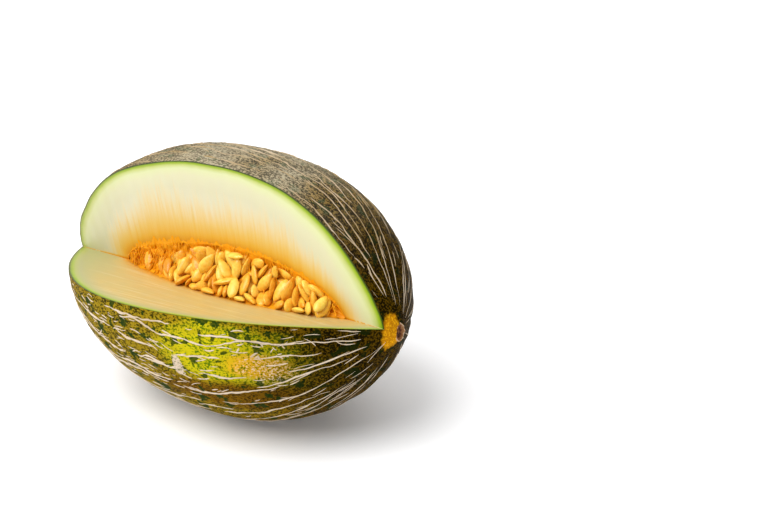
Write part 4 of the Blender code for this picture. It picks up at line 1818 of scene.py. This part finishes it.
def fibre_paths(bed, settings):
    """Loose fibres: fringes over both edges of the bed, and threads between the seeds."""
    rng = np.random.default_rng(FIBRE_SEED)
    paths = []
    for index in range(settings.fibres):
        x = rng.uniform(bed.first + 6 * MM, bed.last - 4 * MM)
        width = float(bed.width(x))
        kind = index % 6
        steps = np.linspace(0, 1, FIBRE_POINTS)
        lean = rng.normal(0, 0.16)
        if kind < 2:
            over = (0.2 + rng.exponential(0.8)) * MM / width
            share = blend(-over, rng.uniform(0.08, 0.34), steps)
            lean += rng.normal(0, 0.2)
        elif kind == 2:
            over = rng.uniform(0.2, 2.6) * MM / width
            share = blend(1 + over, rng.uniform(0.74, 0.92), steps)
            lean += 0.5
        else:
            middle, reach = rng.uniform(0.25, 0.75), rng.uniform(2, 5) * MM / width
            share = blend(middle - reach, middle + reach, steps)
            lean += rng.normal(0, 0.5)
        xs = x + lean * (share - share[0]) * width + 0.5 * MM * wander(rng, steps, 0.3)
        xs = np.clip(xs, bed.first + 2 * MM, bed.last - 2 * MM)
        radius = settings.fibre_radius * rng.uniform(0.5, 1.15)
        widths = radius * np.sin(np.linspace(0.12, math.pi - 0.12, FIBRE_POINTS)) ** 0.6
        inside = np.clip(share, 0, 1)
        lift = 0.5 * radius + rng.uniform(0, 0.9) * MM * np.sin(steps * math.pi)
        if kind > 2:
            lift += rng.uniform(0.5, 3.2) * MM
        points = bed.spot(xs, inside, bed.depth(xs, inside) + lift)
        for rise, beyond in ((UPPER_FACE, -share), (LOWER_FACE, share - 1)):
            off_edge = beyond > 0
            if off_edge.any():
                reach = cavity_reach(xs, rise) + np.clip(beyond, 0, 0.3) * width
                on = on_face(xs, rise, reach, 0.25 * radius + 0 * xs)
                points = np.where(off_edge[:, None], on, points)
        out = bed.outward(xs)
        outward = np.stack([0 * xs, out[:, 0], out[:, 1]], -1)
        paths.append((points, widths, outward))
    return paths


class MELON_OT_pulp(bpy.types.Operator):
    """Make the seed bed and its loose fibres"""

    bl_idname = "melon.make_pulp"
    bl_label = "Pulp"

    def execute(self, context):
        settings = context.scene.melon_pulp
        bed = Bed()
        pulp = make_pulp(bed, settings)
        base = path_mesh("fibre_paths", fibre_paths(bed, settings))
        tree = tube_tree("Pulp fibres", pulp.data.materials[0], 6, 0.8)
        fibres = grow("pulp_fibres", base, tree, {"Width": 1.0})
        dress(fibres, "pulp", "pulp")
        return {"FINISHED"}


# Seeds


def seed_material(settings):
    """Ripe seed hulls in a film of juice: a sharp gloss over ivory, stained where the pulp held them."""
    material, tree, shader, place = start_material("Melon seed hull, wet")
    tone = node(tree, "ShaderNodeAttribute", attribute_name="tone").outputs["Fac"]
    along = node(tree, "ShaderNodeAttribute", attribute_name="along").outputs["Fac"]
    film = node(tree, "ShaderNodeTexNoise", {0: place, 2: 330.0, 3: 3.0, 4: 0.6})
    apart = node(tree, "ShaderNodeSeparateXYZ", {0: place})
    stain = tone
    for part in (
        # the ones towards the stalk lie deeper in the pulp
        node(tree, "ShaderNodeMapRange", {0: apart.outputs["X"], 1: -0.045, 2: 0.045, 3: 0.15, 4: -0.15}),
        node(tree, "ShaderNodeMapRange", {0: film, 1: 0.32, 2: 0.68, 3: -0.35, 4: 0.35}),
        node(tree, "ShaderNodeMapRange", {0: along, 1: 0.0, 2: 0.30, 3: 0.45, 4: 0.0}),
    ):
        stain = node(tree, "ShaderNodeMath", {0: stain, 1: part}, operation="ADD")
    colour = node(
        tree,
        "ShaderNodeValToRGB",
        {0: stain},
        stops=(
            (0.0, linear("#f9d25c")),
            (0.30, tuple(settings.pale)),
            (0.65, linear("#f0b035")),
            (1.0, tuple(settings.stained)),
        ),
    )
    feed(
        tree,
        shader,
        {
            "Base Color": colour,
            "Roughness": 0.34,
            "Specular IOR Level": 0.22,
            "Coat Weight": 0.35,
            "Coat Roughness": 0.14,
            "Subsurface Weight": 0.20,
            "Subsurface Radius": (0.0014, 0.0010, 0.0005),
            "Subsurface Scale": 1.0,
            "Normal": node(
                tree, "ShaderNodeBump", {"Strength": 0.25, "Distance": 0.0003, "Height": film}
            ),
        },
    )
    return material


def seed_shape(name, settings, bend, plump, taper):
    """One seed along X, flat in Z, pointed at -X, where it grew on the pulp."""
    along = (1 - np.cos(np.linspace(0, math.pi, SEED_RINGS + 2))) / 2
    around = np.linspace(0, math.tau, SEED_SIDES, endpoint=False)
    loops, runs = [], []
    for share in along:
        swell = max(0.0, math.sin(math.pi * share**taper)) ** 0.48
        y = settings.width / 2 * swell * np.cos(around)
        z = settings.thickness / 2 * plump * swell**0.9 * np.sin(around)
        z = z * (1 - 0.18 * np.abs(np.cos(around)) ** 6)
        x = settings.length * (share - 0.5) + 0 * around
        z = z + bend * (4 * share * (1 - share) - 0.5)
        loops.append(np.stack([x, y, z], -1))
        runs.append(np.full(SEED_SIDES, share))
    loops = np.array(loops)
    faces = loft(loops).reshape(-1, 4)
    return make_piece(name, loops, faces, [], values={"along": np.array(runs)})


def turn_matrices(angles):
    """Rotation matrices from (x, y, z) Euler angles, one row each."""
    made = np.empty((len(angles), 3, 3))
    for index, (a, b, c) in enumerate(angles):
        made[index] = np.array(
            Matrix.Rotation(c, 3, "Z") @ Matrix.Rotation(b, 3, "Y") @ Matrix.Rotation(a, 3, "X")
        )
    return made


def start_seeds(bed, count, rng):
    """Where the seeds start over the bed: thin and low towards the stalk, upright in the heap."""
    x, share = [], []
    while len(x) < count:
        at = rng.uniform(bed.first + 7 * MM, bed.last - 11 * MM)
        down = rng.uniform(0, 1)
        sparse = float(smooth(0.0, -0.035, at))
        wanted = float(bed.width(at)) / 0.045 * (1 - 0.62 * sparse)
        if rng.uniform(0, 1) < wanted and 0.22 + 0.22 * sparse < down < 0.84:
            x.append(at)
            share.append(down)
    x, share = np.array(x), np.array(share)
    lean = np.where(x < -0.020, 60, 24)
    # a seed hangs with its point towards the upper edge, but some have tipped over
    tipped = rng.uniform(0, 1, count) < 0.3
    angles = np.stack(
        [
            np.radians(rng.normal(0, 38, count)),
            np.radians(rng.uniform(-22, 22, count)),
            np.radians(270 + lean * rng.uniform(-1, 1, count) + 180 * tipped),
        ],
        -1,
    )
    return x, share, angles


def near_pairs(points, radius, owner, reach):
    """Balls of different seeds that are this close to touching, as two lists of numbers."""
    apart = np.linalg.norm(points[:, None] - points[None], axis=-1)
    near = apart < radius[:, None] + radius[None] + reach
    return np.nonzero(near & (owner[:, None] < owner[None]))


def push_apart(points, radius, pairs):
    """Move every ball half out of the ones that it overlaps."""
    first, second = pairs
    gap = points[first] - points[second]
    far = np.maximum(np.linalg.norm(gap, axis=-1), 1e-6)
    overlap = np.maximum(radius[first] + radius[second] - far, 0)
    move = 0.35 * gap * (overlap / far)[:, None]
    for axis in range(3):
        points[:, axis] += np.bincount(first, move[:, axis], len(points))
        points[:, axis] -= np.bincount(second, move[:, axis], len(points))


def keep_in_bed(points, radius, bed):
    """Lift balls out of the bed, and off both cut faces beside it."""
    share, height = bed.read(points)
    low = bed.depth(points[:, 0], np.clip(share, 0, 1)) + 0.75 * radius
    over_bed = (share > 0) & (share < 1)
    lift = np.where(over_bed, np.maximum(low - height, 0), 0)
    points[:, 1:] += lift[:, None] * bed.outward(points[:, 0])
    upper, lower = bed.ends(points[:, 0])
    highest = 0.10 + 0.24 * smooth(0.0, -0.04, points[:, 0])
    back = np.maximum(highest - share, 0) + np.minimum(1.0 - share, 0)
    points[:, 1:] += 0.5 * back[:, None] * (lower - upper)
    off = off_faces(points[:, 0], points[:, 1], points[:, 2] - AXIS_HEIGHT)
    for rise, over, beyond in ((UPPER_FACE, off[0], share < 0.03), (LOWER_FACE, off[1], share > 0.97)):
        way = face_way(points[:, 0], rise)
        out = np.stack([-way[:, 1], way[:, 0]], -1) * (1 if rise == UPPER_FACE else -1)
        points[:, 1:] += np.where(beyond, np.maximum(radius - over, 0), 0)[:, None] * out
    points[:, 0] = np.clip(points[:, 0], bed.first + 4 * MM, bed.last - 8 * MM)


def best_turns(balls, middles, shape):
    """The turn of every seed that fits its moved balls best."""
    moved = np.einsum("nki,nkj->nij", balls - middles[:, None], shape)
    left, _, right = np.linalg.svd(moved)
    left[:, :, 2] *= np.linalg.det(left @ right)[:, None]
    return left @ right


def lay_seeds(bed, settings):
    """Where every seed comes to rest, as (middles, rotation matrices, sizes).

    Each seed is eight balls that keep their shape. They sink into the bed and push each other apart.
    """
    rng = np.random.default_rng(HEAP_SEED)
    count = settings.count
    x, share, angles = start_seeds(bed, count, rng)
    size = rng.uniform(0.86, 1.10, count)
    local = np.array([(a * settings.length, c * settings.width, 0.0) for a, c, _ in SEED_BALLS])
    off_middle = local.mean(axis=0)
    shape = (local - off_middle)[None] * size[:, None, None]
    ball = np.array([r for _, _, r in SEED_BALLS]) * settings.thickness / 2
    radius = (ball[None] * size[:, None]).ravel()
    upper, lower = bed.ends(x)
    across = (upper - lower) / np.linalg.norm(upper - lower, axis=-1, keepdims=True)
    zero, one = np.zeros(count), np.ones(count)
    frames = np.stack(
        [
            np.stack([one, zero, zero], -1),
            np.stack([zero, across[:, 0], across[:, 1]], -1),
            np.stack([zero, -across[:, 1], across[:, 0]], -1),
        ],
        -1,
    )
    turns = frames @ turn_matrices(angles)
    middles = bed.spot(x, share, blend(-2.0, 13.0, rng.uniform(0, 1, count)) * MM)
    balls = middles[:, None] + np.einsum("nij,nkj->nki", turns, shape)
    owner = np.repeat(np.arange(count), len(local))
    for step in range(SETTLE_STEPS):
        sink = FAST_SINK if step < FAST_STEPS else SLOW_SINK
        points = balls.reshape(-1, 3)
        if step % PAIR_EVERY == 0:
            pairs = near_pairs(points, radius, owner, PAIR_REACH)
        points[:, 1:] -= sink * bed.outward(points[:, 0])
        for _ in range(2):
            push_apart(points, radius, pairs)
            keep_in_bed(points, radius, bed)
        balls = points.reshape(count, -1, 3)
        middles = balls.mean(axis=1)
        turns = best_turns(balls, middles, shape)
        balls = middles[:, None] + np.einsum("nij,nkj->nki", turns, shape)
    shift = np.einsum("nij,j->ni", turns, off_middle)
    return middles - shift * size[:, None], turns, size


def seed_tree(shapes, material):
    """Geometry Nodes: one of the seed shapes on every point, turned and sized as the point says."""
    tree, given = start_tree("Laid seeds", ("Size", "NodeSocketFloat", 1.0))
    gathered = node(tree, "GeometryNodeJoinGeometry")
    for shape in shapes:
        one = node(tree, "GeometryNodeObjectInfo", {0: shape, 1: True})
        tree.links.new(one.outputs["Geometry"], gathered.inputs[0])
    lie, size, kind = (
        node(tree, "GeometryNodeInputNamedAttribute", {"Name": label}, data_type=data_type)
        for label, data_type in (("lie", "FLOAT_VECTOR"), ("size", "FLOAT"), ("kind", "INT"))
    )
    scale = node(tree, "ShaderNodeMath", {0: size, 1: given.outputs["Size"]}, operation="MULTIPLY")
    laid = node(
        tree,
        "GeometryNodeInstanceOnPoints",
        {
            "Points": given.outputs["Geometry"],
            "Instance": gathered,
            "Pick Instance": True,
            "Instance Index": kind,
            "Rotation": node(tree, "FunctionNodeEulerToRotation", {0: lie}),
            "Scale": scale,
        },
    )
    return end_tree(tree, laid, material)


class MELON_OT_seeds(bpy.types.Operator):
    """Lay the seeds in the pulp"""

    bl_idname = "melon.make_seeds"
    bl_label = "Seeds"

    def execute(self, context):
        settings = context.scene.melon_seeds
        bed = Bed()
        middles, turns, size = lay_seeds(bed, settings)
        rng = np.random.default_rng(TONE_SEED)
        mesh = bpy.data.meshes.new("seed_places")
        mesh.from_pydata(middles, [], [])
        lies = [Matrix(turn.tolist()).to_euler() for turn in turns]
        for name, kind, key, numbers in (
            ("lie", "FLOAT_VECTOR", "vector", np.array(lies)),
            ("size", "FLOAT", "value", size),
            ("tone", "FLOAT", "value", rng.beta(1.6, 2.0, len(middles))),
            ("kind", "INT", "value", rng.integers(0, 4, len(middles))),
        ):
            layer = mesh.attributes.new(name, kind, "POINT")
            numbers = np.asarray(numbers, np.int32 if kind == "INT" else np.float32)
            layer.data.foreach_set(key, numbers.ravel())
        shapes = [
            seed_shape("seed_flat", settings, 0.0, 1.0, 1.28),
            seed_shape("seed_bent", settings, 0.5 * MM, 0.95, 1.36),
            seed_shape("seed_plump", settings, -0.2 * MM, 1.15, 1.20),
            seed_shape("seed_slim", settings, 0.2 * MM, 0.90, 1.32),
        ]
        tree = seed_tree(shapes, seed_material(settings))
        seeds = grow("seed_heap", mesh, tree, {"Size": 1.0})
        for shape in shapes:
            bpy.data.objects.remove(shape)
        dress(seeds, "seed", "seeds")
        return {"FINISHED"}


# Stage


def studio_world(stage):
    """Even light from all round, brighter from the left and above than from the right."""
    world = bpy.data.worlds.new("Studio")
    world.use_nodes = True
    tree = world.node_tree
    way = node(tree, "ShaderNodeTexCoord").outputs["Generated"]
    lit = node(tree, "ShaderNodeVectorMath", {0: way, 1: BRIGHT_SIDE}, operation="DOT_PRODUCT")
    strength = node(
        tree,
        "ShaderNodeMapRange",
        {0: lit.outputs["Value"], 1: -0.7, 2: 0.8, 3: 0.25 * stage.sky, 4: 1.5 * stage.sky},
        interpolation_type="SMOOTHSTEP",
    )
    feed(tree, tree.nodes["Background"], {"Color": linear("#fdfdff"), "Strength": strength})
    return world


def floor_material(stage):
    """Matt white studio paper on a lit table: the glow through it keeps the shadow soft and pale."""
    material, tree, shader, place = start_material("Studio paper, matt")
    tooth = node(tree, "ShaderNodeTexNoise", {0: place, 2: 900.0, 3: 2.0})
    feed(
        tree,
        shader,
        {
            "Base Color": tuple(stage.floor),
            "Roughness": 0.9,
            "Specular IOR Level": 0.1,
            "Emission Color": tuple(stage.floor),
            "Emission Strength": stage.glow,
            "Normal": node(
                tree, "ShaderNodeBump", {"Strength": 0.05, "Distance": 0.0002, "Height": tooth}
            ),
        },
    )
    return material


class MELON_OT_stage(bpy.types.Operator):
    """Make the floor, the soft studio light and the camera"""

    bl_idname = "melon.make_stage"
    bl_label = "Stage"

    def execute(self, context):
        scene = context.scene
        stage = scene.melon_stage
        side = stage.floor_size / 2
        mesh = bpy.data.meshes.new("floor")
        corners = [(-side, -side), (side, -side), (side, side), (-side, side)]
        mesh.from_pydata([(x, y, -FLOOR_DROP) for x, y in corners], [], [(0, 1, 2, 3)])
        mesh.materials.append(floor_material(stage))
        floor = bpy.data.objects.new("floor", mesh)
        scene.collection.objects.link(floor)
        scene.world = studio_world(stage)
        for name, towards, share, span in SUNS:
            light = bpy.data.lights.new(name, "SUN")
            light.energy = share * stage.light
            light.angle = math.radians(span)
            lamp = bpy.data.objects.new(name, light)
            lamp.location = towards
            lamp.rotation_euler = Vector(towards).to_track_quat("Z", "Y").to_euler()
            scene.collection.objects.link(lamp)
        view = bpy.data.cameras.new("camera")
        view.sensor_width = CAMERA_SENSOR
        view.lens = CAMERA_LENS
        view.clip_start = 0.01
        view.clip_end = 50.0
        camera = bpy.data.objects.new("camera", view)
        camera.location = CAMERA_PLACE
        camera.rotation_euler = Vector(CAMERA_LOOKS).to_track_quat("-Z", "Y").to_euler()
        scene.collection.objects.link(camera)
        scene.camera = camera
        scene.view_settings.view_transform = "Standard"
        return {"FINISHED"}


class MELON_PT_panel(bpy.types.Panel):
    """The melon's pieces and their settings"""

    bl_idname = "MELON_PT_panel"
    bl_label = "Cut melon"
    bl_space_type = "VIEW_3D"
    bl_region_type = "UI"
    bl_category = "Melon"

    def draw(self, context):
        for operator, settings in PIECES:
            box = self.layout.box()
            box.operator(operator.bl_idname)
            group = getattr(context.scene, settings)
            for name in group.__annotations__:
                box.prop(group, name)


SETTINGS = {
    "melon_body": MelonBodySettings,
    "melon_net": MelonNetSettings,
    "melon_ends": MelonEndSettings,
    "melon_pulp": MelonPulpSettings,
    "melon_seeds": MelonSeedSettings,
    "melon_stage": MelonStageSettings,
}
PIECES = (
    (MELON_OT_body, "melon_body"),
    (MELON_OT_net, "melon_net"),
    (MELON_OT_ends, "melon_ends"),
    (MELON_OT_pulp, "melon_pulp"),
    (MELON_OT_seeds, "melon_seeds"),
    (MELON_OT_stage, "melon_stage"),
)
CLASSES = (*SETTINGS.values(), *(operator for operator, _ in PIECES), MELON_PT_panel)


def register():
    """Register the classes, and give the scene their settings."""
    for one in CLASSES:
        bpy.utils.register_class(one)
    for name, group in SETTINGS.items():
        setattr(bpy.types.Scene, name, PointerProperty(type=group))


def unregister():
    """Take the settings and the classes away again."""
    for name in SETTINGS:
        delattr(bpy.types.Scene, name)
    for one in reversed(CLASSES):
        bpy.utils.unregister_class(one)


def main():
    """Make every piece."""
    register()
    bpy.ops.melon.make_body()
    bpy.ops.melon.make_net()
    bpy.ops.melon.make_ends()
    bpy.ops.melon.make_pulp()
    bpy.ops.melon.make_seeds()
    bpy.ops.melon.make_stage()


if __name__ == "__main__":
    main()
